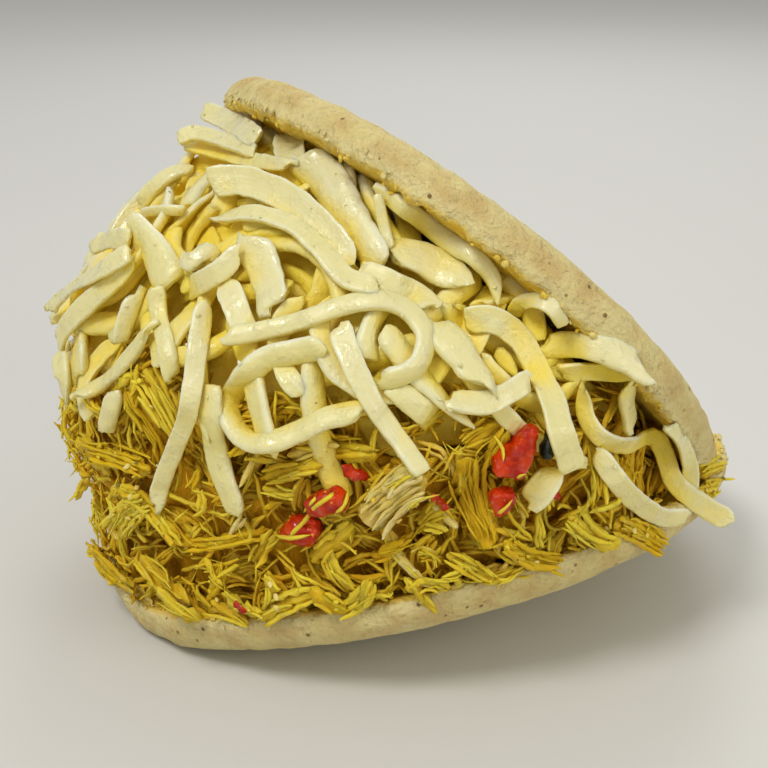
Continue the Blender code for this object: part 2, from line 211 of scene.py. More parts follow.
class Wire:
    """A node's output. Arithmetic on it adds Math nodes, and node() adds any other kind."""

    def __init__(self, tree, socket=None):
        self.tree = tree
        self.socket = socket

    def node(self, kind, settings=None, sockets=None, output=0):
        made = self.tree.nodes.new(kind)
        for name, value in (settings or {}).items():
            setattr(made, name, value)
        for name, value in (sockets or {}).items():
            if isinstance(value, Wire):
                self.tree.links.new(value.socket, made.inputs[name])
            else:
                made.inputs[name].default_value = value
        return Wire(self.tree, made.outputs[output] if made.outputs else None)

    def math(self, operation, *values):
        return self.node("ShaderNodeMath", {"operation": operation}, dict(enumerate(values)))

    def __add__(self, other):
        return self.math("ADD", self, other)

    def __sub__(self, other):
        return self.math("SUBTRACT", self, other)

    def __rsub__(self, other):
        return self.math("SUBTRACT", other, self)

    def __mul__(self, other):
        return self.math("MULTIPLY", self, other)

    __radd__ = __add__
    __rmul__ = __mul__

    def ease(self, low, high):
        """0 below low, 1 above high and smooth between them."""
        span = {"Value": self, "From Min": low, "From Max": high}
        return self.node("ShaderNodeMapRange", {"interpolation_type": "SMOOTHSTEP"}, span)

    def tint(self, low, high):
        """The colour low where this value is 0, and high where it is 1."""
        colours = {0: self, 6: low, 7: high}
        return self.node("ShaderNodeMix", {"data_type": "RGBA"}, colours, 2)

    def place(self):
        """Where the surface is, in metres."""
        return self.node("ShaderNodeTexCoord", output=3)

    def value(self, name):
        """The value that mark() or a strand keeps under that name."""
        return self.node("ShaderNodeAttribute", {"attribute_name": name}, output=2)

    def vector_math(self, operation, sockets):
        return self.node("ShaderNodeVectorMath", {"operation": operation}, sockets)

    def scaled(self, amount):
        """This vector, that many times as long."""
        return self.vector_math("SCALE", {0: self, "Scale": amount})

    def joined(self, x, y, z):
        """A vector of three values."""
        return self.node("ShaderNodeCombineXYZ", None, {"X": x, "Y": y, "Z": z})

    def cloud(self, size, detail=3, roughness=0.5, where=None):
        """Soft noise from 0 to 1, with blotches of that size in metres."""
        sockets = {"Vector": where or self.place(), "Scale": 1 / size}
        sockets |= {"Detail": detail, "Roughness": roughness}
        return self.node("ShaderNodeTexNoise", None, sockets)

    def cells(self, spacing):
        """Distance to the nearest of many scattered spots, that far apart in metres."""
        sockets = {"Vector": self.place(), "Scale": 1 / spacing}
        return self.node("ShaderNodeTexVoronoi", None, sockets)


def new_finish(name):
    """An empty material and the wire that starts its tree."""
    material = bpy.data.materials.new(name)
    material.use_nodes = True
    material.node_tree.nodes.clear()
    return material, Wire(material.node_tree)


def set_finish(start, sockets, bumps):
    """Closes a material: the surface's sockets, and its relief as [(height, depth)]."""
    normal = None
    for height, depth in bumps:
        relief = {"Height": height, "Distance": depth, "Strength": 1}
        if normal:
            relief["Normal"] = normal
        normal = start.node("ShaderNodeBump", None, relief)
    surface = start.node("ShaderNodeBsdfPrincipled", None, {**sockets, "Normal": normal})
    start.node("ShaderNodeOutputMaterial", None, {"Surface": surface})


def add_piece(name, mesh, material, slot, *nodes):
    """Links a finished piece, which rides on the one body and stands for those CAD nodes."""
    mesh.name = name
    mesh.materials.clear()
    mesh.materials.append(material)
    mesh.shade_smooth()
    piece = bpy.data.objects.new(name, mesh)
    bpy.context.scene.collection.objects.link(piece)
    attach(piece, "root")
    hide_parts(*nodes)
    return piece


def bread_finish():
    """Dry pale skin with toasted patches and bran, white crumb at the rims, and oil and painted
    light inside.
    """
    material, start = new_finish("corn_cake")
    inside = start.value("inside")
    crumb = start.value("crumb")
    oil = start.value("oil")
    blotch = start.cloud(BLOTCH_SIZE).ease(0.35, 0.7)
    toast = start.value("toast") * start.cloud(TOAST_SIZE, 4).ease(0.35, 0.65)
    grit = start.cloud(GRIT_SIZE, 4, 0.65)
    bran = 1 - start.cells(BRAN_SPACING).ease(*BRAN_SPOT)
    bran = bran * start.cloud(BRAN_PATCH_SIZE).ease(0.40, 0.52)
    colour = (blotch * 0.75).tint(SKIN_PALE, SKIN_WARM)
    colour = (grit.ease(0.3, 0.75) * 0.3).tint(colour, CRUMB_WHITE)
    colour = (toast * 0.7).tint(colour, SKIN_TOASTED)
    colour = (crumb * 0.45).tint(colour, CRUMB_WHITE)
    colour = (bran * 0.9).tint(colour, SKIN_BRAN)
    # The oil's stain inside, brightened as painted light that comes off the filling.
    colour = (oil * (0.55 + grit * 0.5)).tint(colour, OIL_AND_BOUNCE_YELLOW)
    stain = inside * start.cloud(STAIN_SIZE).ease(0.3, 0.75)
    colour = (stain * 0.7).tint(colour, OIL_DEEP)
    pits = start.cells(PIT_SPACING)
    set_finish(
        start,
        {
            "Base Color": colour,
            "Roughness": 0.62 - oil * 0.28 + grit * 0.1,
            "Specular IOR Level": 0.22,
            "Subsurface Weight": 0.2,
            "Subsurface Radius": (0.9, 0.55, 0.15),
            "Subsurface Scale": 1.6 * MM,
        },
        [(grit, 0.8 * MM), (pits, 0.25 * MM), (start.cloud(DIMPLE_SIZE), 0.7 * MM)],
    )
    return material


def corn_cake():
    """Both halves and their hinge, with torn rims and a grained skin."""
    mesh = even_mesh("arepa", CAKE_VOXEL, CAKE_SMOOTHING)
    points = points_of(mesh)
    normals = normals_of(mesh)
    inward = unit(HEAP_MIDDLE - points)
    facing = (inward * normals).sum(1)
    rim = np.flatnonzero(np.abs(facing) < RIM_FACING)
    tree = kdtree.KDTree(len(rim))
    for place, index in enumerate(rim):
        tree.insert(points[index], place)
    tree.balance()
    from_rim = np.array([tree.find(p)[2] for p in points])
    crumb = 1 - smooth_step(from_rim, *CRUMB_REACH)
    height = crumb * relief(points, CRUMB_RELIEF) + (1 - crumb) * relief(points, SKIN_RELIEF)
    height *= smooth_step(points[:, 2], *FOOT_HEIGHT)
    teeth = np.clip(relief(points, TEETH_SHARE), 0, 1)
    teeth *= TEETH_LENGTH * crumb**2 * smooth_step(facing, *TEETH_FACING)
    move_points(mesh, points + normals * height[:, None] + inward * teeth[:, None])
    mark(mesh, "crumb", crumb)
    mark(mesh, "inside", smooth_step(facing, *INSIDE_FACING))
    stain = (1 - smooth_step(from_rim, *OIL_REACH)) * smooth_step(facing, *OIL_FACING)
    mark(mesh, "oil", np.where(facing > 0, 1, stain))
    mark(mesh, "toast", smooth_step(-facing, *TOASTED_FACING))
    add_piece("corn_cake", mesh, bread_finish(), "corn_cake", "arepa")


corn_cake()

# ---------------------------------------------------------------------------
# The filling's heap. Chicken lies on the lower half and cheese is piled on it, both pressed
# under the upper half. The heap is mapped from its middle: for each direction how far out it
# reaches, how far the bread lets it go, and how far it has been filled so far.
TURN_CELLS = 360
RISE_LOW = -50
RISE_HIGH = 86
CAST_FROM = 150 * MM
NO_LID = 1.0
# Counted in cells of the map, one degree each.
SPIKE_CELLS = 4
GAP_CELLS = 2
UNDER_EDGE = 7
EDGE_CELLS = 5
FILL_CELLS = 5
# At the rims the core is fuller, the chicken spills out, and the cheese stays in.
EDGE_FULLNESS = 0.3
RIM_SPILL = 3.2 * MM
LID_GROOVE = 4.5 * MM
# A strand lies a little below the heap's outside, sinks into what is under it, touches it
# that share of its width from its middle, and clears the bread by a share of its thickness.
SUNK = 0.4 * MM
STRAND_GIVE = 0.2 * MM
STRAND_FLANK = 0.33
LID_CLEARANCE = 0.6


def evened(values):
    """Each value of a line, drawn towards its two neighbours."""
    padded = np.concatenate([values[:1], values, values[-1:]])
    return (padded[:-2] + 2 * values + padded[2:]) / 4


def soften(values, times):
    """A line evened out that many times."""
    for _ in range(times):
        values = evened(values)
    return values


class Heap:
    """The filling, mapped by the turn and the rise of each direction from its middle."""

    def __init__(self):
        turns = np.radians(np.arange(TURN_CELLS))
        rises = np.radians(np.arange(RISE_LOW, RISE_HIGH))
        self.rises, self.turns = np.meshgrid(rises, turns, indexing="ij")
        self.ways = self.direction(self.turns, self.rises)
        chicken = self.outside("shredded_chicken")
        cheese = self.outside("grated_cheese")
        bread = self.skin("arepa")
        lid = [bread.ray_cast(Vector(HEAP_MIDDLE), Vector(w))[3] for w in self.flat_ways()]
        self.lid = np.array([NO_LID if d is None else d for d in lid]).reshape(self.turns.shape)
        reach = np.maximum(chicken, cheese)
        reach = self.spread(self.spread(reach, SPIKE_CELLS, np.minimum), SPIKE_CELLS, np.maximum)
        self.reach = self.blur(reach, 3)
        self.open = self.spread(self.lid, GAP_CELLS, np.minimum) > NO_LID / 2
        mouth = self.spread(self.open, UNDER_EDGE, np.maximum)
        self.cheese = self.open & (cheese > chicken)
        self.chicken = mouth & (chicken > cheese)
        edge = self.blur(self.spread(~self.open, EDGE_CELLS, np.maximum).astype(float), 5)
        self.hollow = 1 - EDGE_FULLNESS * self.blur(edge * self.chicken, 1)
        self.bed = self.reach.copy()
        self.reach += RIM_SPILL * self.blur(edge * self.chicken, 2)
        self.reach -= LID_GROOVE * self.blur(edge * self.cheese, 2)
        self.level = self.reach.copy()

    @staticmethod
    def direction(turns, rises):
        """The unit vector of each turn and rise."""
        flat = np.cos(rises)
        return np.stack([flat * np.cos(turns), flat * np.sin(turns), np.sin(rises)], -1)

    @staticmethod
    def skin(node):
        """The node's faces, ready to cast rays on."""
        mesh = cad_mesh(node)
        faces = [tuple(p.vertices) for p in mesh.polygons]
        return BVHTree.FromPolygons([v.co for v in mesh.vertices], faces)

    def flat_ways(self):
        """The map's directions in one list."""
        return self.ways.reshape(-1, 3)

    def outside(self, node):
        """How far the node's outside is from the middle, in every direction."""
        skin = self.skin(node)
        found = []
        for way in self.flat_ways():
            hit = skin.ray_cast(Vector(HEAP_MIDDLE + way * CAST_FROM), Vector(-way))
            found.append(0 if hit[3] is None else CAST_FROM - hit[3])
        return np.array(found).reshape(self.turns.shape)

    @staticmethod
    def spread(grid, cells, pick):
        """Each cell as the pick, least or most, of those up to that many cells away."""
        for _ in range(cells):
            grid = pick(grid, pick(np.roll(grid, 1, 1), np.roll(grid, -1, 1)))
            grid = pick(grid, pick(np.roll(grid, 1, 0), np.roll(grid, -1, 0)))
        return grid

    @staticmethod
    def blur(grid, times):
        """Each cell as the mean of those around it, again and again."""
        for _ in range(times):
            grid = (grid + np.roll(grid, 1, 1) + np.roll(grid, -1, 1)) / 3
            grid = (grid + np.roll(grid, 1, 0) + np.roll(grid, -1, 0)) / 3
        return grid

    def cell(self, ways):
        """The row and column of the map for each direction."""
        rises = np.degrees(np.arcsin(np.clip(ways[..., 2], -1, 1)))
        turns = np.degrees(np.arctan2(ways[..., 1], ways[..., 0]))
        rows = np.clip(np.rint(rises - RISE_LOW), 0, self.turns.shape[0] - 1)
        return rows.astype(int), np.rint(turns).astype(int) % TURN_CELLS

    def fill(self, ways, tops, half_width):
        """Raises the level to those tops, within half a width of the line."""
        high = np.arange(-FILL_CELLS, FILL_CELLS + 1)
        wide = np.arange(-2 * FILL_CELLS, 2 * FILL_CELLS + 1)
        for row, column, way, top in zip(*self.cell(ways), ways, tops):
            rows = np.clip(row + high, 0, self.turns.shape[0] - 1)
            patch = np.ix_(rows, (column + wide) % TURN_CELLS)
            away = np.linalg.norm(self.ways[patch] - way, axis=-1) * top
            raised = np.where(away < half_width, top, 0)
            self.level[patch] = np.maximum(self.level[patch], raised)

    def drape(self, ways, width, thickness, slack, lean=0):
        """How far out a strand lies on what is there. It bridges more of the hollows the
        higher slack is, and stands off by lean at its far end."""
        side = unit(np.cross(ways, np.gradient(ways, axis=0)))
        resting = self.level[self.cell(ways)]
        for sign in (-1, 1):
            beside = unit(ways + sign * side * (width * STRAND_FLANK / resting)[:, None])
            resting = np.maximum(resting, self.level[self.cell(beside)])
        resting = resting - STRAND_GIVE
        held = resting
        for _ in range(slack):
            held = np.maximum(resting, evened(held))
        limit = self.reach[self.cell(ways)] - SUNK
        self.full = np.mean(held > limit)
        held = soften(np.minimum(held, limit), 2)
        held += lean * np.linspace(0, 1, len(ways)) ** 2
        lid = self.lid[self.cell(ways)] - thickness * LID_CLEARANCE
        return np.minimum(held + thickness / 2, lid)

    def polar(self, points):
        """The direction and the distance of each point from the middle."""
        away = points - HEAP_MIDDLE
        far = np.linalg.norm(away, axis=1)
        return away / far[:, None], far


heap = Heap()


def walk(start, heading, bends, step):
    """Directions of a line that sets out from start and turns by each bend in radians."""
    way = unit(start)
    ahead = unit(heading - way * (heading @ way))
    ways = [way]
    for bend in bends:
        side = np.cross(way, ahead)
        ahead = unit(ahead * math.cos(bend) + side * math.sin(bend))
        moved = unit(way + ahead * step)
        ahead = unit(ahead - moved * (ahead @ moved))
        way = moved
        ways.append(way)
    return np.array(ways)


# What each point of a strand's line carries.
BAND_VECTORS = ("spine", "facing", "side")
BAND_VALUES = ("half_wide", "half_thick", "hollow", "tone", "along", "slant")
NOISE_APART = 60
# How a tip rounds off: shares of its reach at which it has a ring, and its least width.
TIP_RINGS = np.array((0, 0.06, 0.22, 0.5))
TIP_LEAST = 0.03


def new_tree(name, inputs):
    """An empty tree that makes geometry, the wire that starts it, and its inputs by name."""
    tree = bpy.data.node_groups.new(name, "GeometryNodeTree")
    for label, kind in inputs.items():
        tree.interface.new_socket(label, in_out="INPUT", socket_type="NodeSocket" + kind)
    tree.interface.new_socket("Made", in_out="OUTPUT", socket_type="NodeSocketGeometry")
    given = tree.nodes.new("NodeGroupInput")
    return tree, Wire(tree), {label: Wire(tree, given.outputs[label]) for label in inputs}


def close_tree(start, made, finish):
    """Ends a tree in real geometry that wears the finish."""
    made = start.node("GeometryNodeRealizeInstances", None, {"Geometry": made})
    dress = {"Geometry": made, "Material": finish}
    made = start.node("GeometryNodeSetMaterial", None, dress)
    start.node("NodeGroupOutput", None, {"Made": made})


def grown(mesh, tree, sizes):
    """What the tree makes of the mesh. Its inputs are given by name."""
    items = [item for item in tree.interface.items_tree if item.name in sizes]
    inputs = {item.identifier: sizes[item.name] for item in items}
    return plain_mesh(mesh, [("NODES", {"node_group": tree}, inputs)])


def strand_tree():
    """Skins lines as bands that are squared off, hollow on one side, torn along their edges,
    ridged, crinkled and cut at a slant. Each point of a line says where it is, which way it
    faces and how big the band is there."""
    inputs = {"Lines": "Geometry", "Sides": "Int", "Squareness": "Float"}
    for relief_kind in ("Tear", "Ridge", "Crinkle"):
        inputs |= {relief_kind: "Float", relief_kind + " Size": "Float"}
    tree, start, size = new_tree("strand", {**inputs, "Finish": "Material"})

    def named(name, kind="FLOAT"):
        settings = {"data_type": kind}
        return start.node("GeometryNodeInputNamedAttribute", settings, {"Name": name})

    def keep(shape, name, kind, value):
        sockets = {"Geometry": shape, "Name": name, "Value": value}
        return start.node("GeometryNodeStoreNamedAttribute", {"data_type": kind}, sockets)

    def noise_at(x, y, z, detail):
        return start.cloud(1, detail, where=start.joined(x, y, z)) - 0.5

    def squared(part):
        amount = start.math("POWER", start.math("ABSOLUTE", part), size["Squareness"])
        return start.math("SIGN", part) * amount

    round_line = {"Resolution": size["Sides"], "Radius": 1}
    circle = start.node("GeometryNodeCurvePrimitiveCircle", None, round_line)
    place = start.node("GeometryNodeInputPosition")
    circle = keep(circle, "around", "FLOAT_VECTOR", place)
    curve = start.node("GeometryNodeMeshToCurve", None, {"Mesh": size["Lines"]})
    sweep = {"Curve": curve, "Profile Curve": circle, "Fill Caps": True}
    skin = start.node("GeometryNodeCurveToMesh", None, sweep)
    around = named("around", "FLOAT_VECTOR")
    up, across = (start.node("ShaderNodeSeparateXYZ", None, {0: around}, k) for k in (0, 1))
    along = named("along")
    seed = named("tone") * NOISE_APART
    half = named("half_wide")
    torn = noise_at(across * 0.9, start.math("DIVIDE", along, size["Tear Size"]), seed, 3)
    wide = squared(across) * half * (1 + size["Tear"] * torn * 4)
    folds = [start.math("DIVIDE", way, size["Crinkle Size"]) for way in (wide, along)]
    crinkle = noise_at(folds[0], folds[1], seed + 9, 1) * size["Crinkle"] * 3
    grain = [start.math("DIVIDE", way, size["Ridge Size"]) for way in (wide, along * 0.1)]
    ridges = noise_at(grain[0], grain[1], seed + 5, 1) * size["Ridge"] * 3
    hollow = named("hollow") * half * across * across
    high = squared(up) * named("half_thick") + hollow + crinkle + ridges
    ragged = across + noise_at(across * 2.5, 0, seed + 7, 2) * 3
    moved, facing, side = (named(name, "FLOAT_VECTOR") for name in BAND_VECTORS)
    ahead = start.vector_math("CROSS_PRODUCT", {0: facing, 1: side})
    for way, amount in ((side, wide), (facing, high), (ahead, ragged * named("slant"))):
        moved = start.vector_math("ADD", {0: moved, 1: way.scaled(amount)})
    skin = keep(skin, "across", "FLOAT", wide)
    skin = keep(skin, "edge", "FLOAT", start.math("ABSOLUTE", across))
    skin = start.node("GeometryNodeSetPosition", None, {"Geometry": skin, "Position": moved})
    close_tree(start, skin, size["Finish"])
    return tree


STRAND_TREE = strand_tree()


def arc_lengths(points):
    """How far along the line each of its points is."""
    return np.concatenate([[0], np.cumsum(np.linalg.norm(np.diff(points, axis=0), axis=1))])


def read_off(values, gone, at):
    """The values at those lengths of a line, from the ones at its points."""
    return np.stack([np.interp(at, gone, column) for column in values.T], 1)


def across_line(points, facing):
    """The way across a line at each point, square to where it faces."""
    return unit(np.cross(unit(np.gradient(points, axis=0)), facing))


def band(points, facing, sizes, reaches, rng, hollow=0.0, pointed=0.0, tone=None):
    """One strand along that line: full in the middle, and rounded off to a tip within those
    reaches of its two ends. Its sizes are its width, its thickness and the step along it."""
    width, thickness, step = sizes
    gone = arc_lengths(points)
    length = gone[-1]
    reaches = np.minimum(reaches, 0.5 * length)
    tips = [np.minimum(reach, width) * TIP_RINGS for reach in reaches]
    inside = length - tips[0][-1] - tips[1][-1]
    inner = tips[0][-1] + inside * np.linspace(0, 1, max(3, int(inside / step)) + 1)[1:-1]
    at = np.concatenate([tips[0], inner, length - tips[1][::-1]])
    near = [np.clip(d / r, TIP_LEAST, 1) for d, r in zip((at, length - at), reaches)]
    full = np.minimum(*[np.sqrt(1 - (1 - share) ** 2) for share in near])
    spine = read_off(points, gone, at)
    turned = unit(read_off(facing, gone, at))
    count = len(at)
    return {
        "spine": spine,
        "facing": turned,
        "side": across_line(spine, turned),
        "half_wide": width / 2 * full ** (1 + pointed),
        "half_thick": thickness / 2 * full**0.6,
        "hollow": np.full(count, hollow),
        "tone": np.full(count, rng.random() if tone is None else tone),
        "along": at + rng.uniform(0, 1),
        "slant": np.zeros(count),
    }


def skin_lines(strands, sizes):
    """A plain mesh of all those strands."""
    joined = {name: np.concatenate([s[name] for s in strands]) for name in strands[0]}
    ends = np.cumsum([len(s["spine"]) for s in strands])
    links = np.arange(len(joined["spine"]) - 1)
    links = links[~np.isin(links + 1, ends)]
    lines = bpy.data.meshes.new("lines")
    lines.from_pydata(joined["spine"], np.stack([links, links + 1], 1), [])
    for name in BAND_VECTORS:
        vectors = lines.attributes.new(name, "FLOAT_VECTOR", "POINT")
        vectors.data.foreach_set("vector", joined[name].astype(np.float32).ravel())
    for name in BAND_VALUES:
        mark(lines, name, joined[name])
    made = grown(lines, STRAND_TREE, sizes)
    for name in (*BAND_VECTORS, "around", "half_wide", "half_thick", "hollow", "slant"):
        made.attributes.remove(made.attributes[name])
    return made


CORE_VOXEL = 1.5 * MM
CORE_SMOOTHING = 4


def core(node, depth, waves):
    """The CAD heap drawn in by that depth, and less beside the bread. It shows only deep
    between the strands."""
    mesh = even_mesh(node, CORE_VOXEL, CORE_SMOOTHING)
    points = points_of(mesh)
    ways, far = heap.polar(points)
    cells = heap.cell(ways)
    far = np.minimum(far, heap.reach[cells]) - depth * heap.hollow[cells]
    move_points(mesh, HEAP_MIDDLE + ways * (far + relief(points, waves))[:, None])
    return mesh


# What lies on top is placed as it is seen: each line is drawn on a sheet held before the eye,
# in millimetres across and up from its middle, and comes to rest on what is behind it.
SHEET = 223 * MM
CURVE_STEPS = 12
LAID_FLANK = 0.35
LAID_SUNK = 0.45
COVER_WIDTH = 0.45
COVER_HEIGHT = 0.4


def drawn_line(drawn, step):
    """An even smooth line through those points of the sheet."""
    knots = np.array(drawn, float)
    knots = np.concatenate([2 * knots[:1] - knots[1:2], knots, 2 * knots[-1:] - knots[-2:-1]])
    line = []
    for a, b, c, d in zip(knots, knots[1:], knots[2:], knots[3:]):
        t = np.linspace(0, 1, CURVE_STEPS, endpoint=False)[:, None]
        line.append(
            0.5 * (2 * b + (c - a) * t + (2 * a - 5 * b + 4 * c - d) * t**2)
            + 0.5 * (3 * b - a - 3 * c + d) * t**3
        )
    line = np.concatenate(line + [knots[-2:-1]])
    gone = arc_lengths(line)
    even = np.linspace(0, gone[-1], max(4, int(gone[-1] * MM / step) + 1))
    return read_off(line, gone, even)


class Sight:
    """What the eye sees so far, and where a new line would rest on it."""

    def __init__(self):
        self.skins = []

    def add(self, piece):
        """Adds a finished piece to what is seen."""
        graph = bpy.context.evaluated_depsgraph_get()
        self.skins.append(BVHTree.FromObject(piece, graph))

    def rays(self, sheet):
        """The way from the eye through each point of the sheet."""
        return unit(FORWARD * SHEET + (RIGHT * sheet[:, :1] + UPWARD * sheet[:, 1:]) * MM)

    def depth(self, sheet):
        """How far from the eye the first thing is behind each point of the sheet."""
        found = []
        for ray in self.rays(sheet):
            hits = [skin.ray_cast(Vector(EYE), Vector(ray))[3] for skin in self.skins]
            found.append(min([h for h in hits if h is not None], default=np.nan))
        return np.array(found)

    def lay(self, drawn, width, thickness, step, slack):
        """Points of the line, and which way its broad side faces."""
        sheet = drawn_line(drawn, step)
        along = unit(np.gradient(sheet, axis=0))
        side = np.stack([-along[:, 1], along[:, 0]], 1)
        resting = self.depth(sheet)
        for sign in (-1, 1):
            beside = sheet + side * sign * LAID_FLANK * width / MM
            resting = np.fmin(resting, self.depth(beside))
        index = np.arange(len(resting))
        sure = np.isfinite(resting)
        resting = np.interp(index, index[sure], resting[sure])
        held = resting
        for _ in range(slack):
            held = np.minimum(resting, evened(held))
        rays = self.rays(sheet)
        points = EYE + rays * (soften(held, 3) - thickness * LAID_SUNK)[:, None]
        outward = unit(points - HEAP_MIDDLE)
        facing = unit(outward * 0.5 - rays * 0.5)
        self.cover(points, facing, width, thickness)
        ways, far = heap.polar(points)
        heap.fill(ways, far + thickness / 2, width / 2)
        return points, facing

    def cover(self, points, facing, width, thickness):
        """Adds the line's broad side to what is seen."""
        side = across_line(points, facing) * width * COVER_WIDTH
        top = points + facing * thickness * COVER_HEIGHT
        edges = np.concatenate([top - side, top + side])
        count = len(points)
        faces = [(k, k + 1, k + 1 + count, k + count) for k in range(count - 1)]
        self.skins.append(BVHTree.FromPolygons([Vector(p) for p in edges], faces))


sight = Sight()
sight.add(bpy.data.objects["corn_cake"])

# ---------------------------------------------------------------------------
# The shredded chicken. Boiled breast pulled apart by hand along its grain, in turmeric
# yellow oil: bundles of fibres 8 to 25 mm long that split and fray at their ends.
# How deep the cores lie under what is scattered on them.
CHICKEN_DEPTH = 3.4 * MM
CHEESE_DEPTH = 5.4 * MM
CHICKEN_RELIEF = [(9 * MM, 1.0 * MM, 0), (3 * MM, 1.0 * MM, 1), (1.8 * MM, 0.7 * MM, 2)]
# Cells of the map that the chicken goes on behind the cheese.
CHICKEN_BEHIND = 8
# What is wider than the first is a shred with a leaf, and narrower than the second a thread.
SHRED_LEAST = 1.8 * MM
BIT_LEAST = 1.1 * MM
# How many are tried, their widths and lengths, the seed, and how many spots each looks at.
SHREDS = (400, (1.9 * MM, 4.6 * MM), (9 * MM, 24 * MM), 11, 14)
BITS = (1350, (0.6 * MM, SHRED_LEAST), (5 * MM, 14 * MM), 12, 16)
# The share of a shred that may lie outside the heap before it is left out.
TOO_FULL = 0.6
SHRED_STEP = 1.3 * MM
SHRED_THICKNESS = 0.8 * MM
SHRED_RINGS = 1.15 * MM
FIBRE_SPACING = 0.8 * MM
FIBRE_GAPS = 0.3
LEAF_WIDTH = 0.8
LEAF_THICKNESS = 0.7 * MM
THREAD_WIDTH = 0.55 * MM
THREAD_RINGS = 0.9 * MM
THREAD_SPACING = 1.6 * MM
# A shred's tone is from 0 to 1: yellow meat up to the first of these, pale from the next.
YELLOWEST = 0.89
PALE_FROM = 0.9
PALEST = 0.95
STREAK_SIZE = 0.5 * MM
MEAT_BLOTCH_SIZE = 4 * MM
WET_MEAT_SIZE = 1.8 * MM
MEAT_GRAIN_SIZE = 0.35 * MM
# The darkest is the core's colour, and also painted shade on meat that lies closed in or turns
# under.
TURMERIC_DARK = (0.64, 0.32, 0.008, 1)
TURMERIC = (0.69, 0.445, 0.008, 1)
TURMERIC_BRIGHT = (0.80, 0.64, 0.05, 1)
MEAT_PALE = (0.84, 0.70, 0.36, 1)
# Each shred on top: its width, and its line on the sheet.
TOP_SHREDS = [
    (4.5, [(-38, 3), (-36, 0), (-34, -4), (-31.5, -8.5), (-29, -11)]),
    (4.5, [(-48.5, -8.5), (-45, -10.5), (-40.5, -12), (-35.5, -14)]),
    (2, [(-48.5, -19), (-47, -16), (-45.5, -14)]),
    (3, [(-47, -26), (-44, -26.5), (-41, -27.5)]),
    (5, [(-38.5, -26), (-36.5, -29), (-33, -32.5), (-29.5, -34.5)]),
    (3, [(-28, -33.5), (-24.5, -35.5), (-20.5, -38.5)]),
    (3.5, [(-20, -37.5), (-15.5, -34.5), (-11.5, -33), (-9, -33)]),
    (3, [(-8, -36), (-5, -34.5), (-3, -32.5), (-2, -29.5)]),
    (4, [(-14.5, -12), (-10, -10.5), (-5.5, -10.5), (0, -11.5)]),
    (3, [(-19.5, -15), (-14.5, -13.5), (-8.5, -12.5)]),
    (6, [(-2.5, -22), (0, -18.5), (3.5, -15.5), (6.5, -14)]),
    (2, [(-20, -16), (-16, -17), (-13, -17.5)]),
    (2.5, [(-33, -24.5), (-27, -25), (-21, -23.5), (-17, -22.5)]),
    (2, [(-3, -26), (-0.5, -27), (3, -24.5), (5.5, -22.5)]),
    (4, [(12, -10.5), (14.5, -8.5), (17.5, -6.5), (20, -5)]),
    (5, [(13, -10.5), (13, -15.5), (14.5, -20.5), (17, -26.5)]),
    (2.5, [(16, -13.5), (17.5, -10), (20, -6.5)]),
    (1.3, [(30.5, -14.5), (32, -18), (29.5, -21.5), (26, -22.5), (25, -19.5), (27, -17)]),
    (4, [(35, -21.5), (39.5, -23), (42, -24.5), (44.5, -26)]),
    (2, [(2.5, -29.5), (4.5, -31.5), (7, -34.5), (9, -36.5)]),
    (3, [(4.5, -22.5), (7.5, -20), (10.5, -18.5)]),
    (2, [(5.5, -21.5), (8.5, -22.5), (11, -23)]),
    (1.3, [(32, -20), (36.5, -18.5), (36.5, -16.5)]),
    (4, [(47.5, -15), (51, -13.5), (54, -12.5)]),
    (3.5, [(46.5, -17), (50.5, -17), (53, -15.5)]),
    (3, [(-43.5, -16.5), (-38.5, -17.5), (-34.5, -21.5), (-31, -26)]),
    (5, [(-42, -24.5), (-40, -20.5), (-36, -18)]),
    (2, [(-19.5, -29.5), (-17.5, -31.5), (-15.5, -33)]),
    (2.5, [(-21, -28.5), (-18.5, -25), (-16, -22.5)]),
    (5, [(-12, -28.5), (-7.5, -24.5), (-4, -21.5)]),
    (4, [(-46, -24), (-43, -29), (-38, -32)]),
    (3, [(-36, -31), (-32, -35.5), (-27.5, -37)]),
    (3, [(-26, -32), (-22, -35), (-18, -36)]),
    (3.5, [(-12, -31), (-9, -34), (-5, -36)]),
    (3, [(9, -26), (14, -29), (18, -31)]),
    (3, [(18, -24), (23, -27), (29, -27.5)]),
    (3.5, [(28, -20), (33, -24), (38, -25)]),
]
# The same for the few pieces where the meat is bare and pale.
PALE_SHREDS = [
    (7, [(-3.5, -22.5), (0, -19), (4, -16), (7.5, -14.5)]),
    (3, [(-1, -17.5), (3, -14.5), (6, -13)]),
    (2.5, [(-16, -11.5), (-11, -10), (-6, -9.5)]),
]


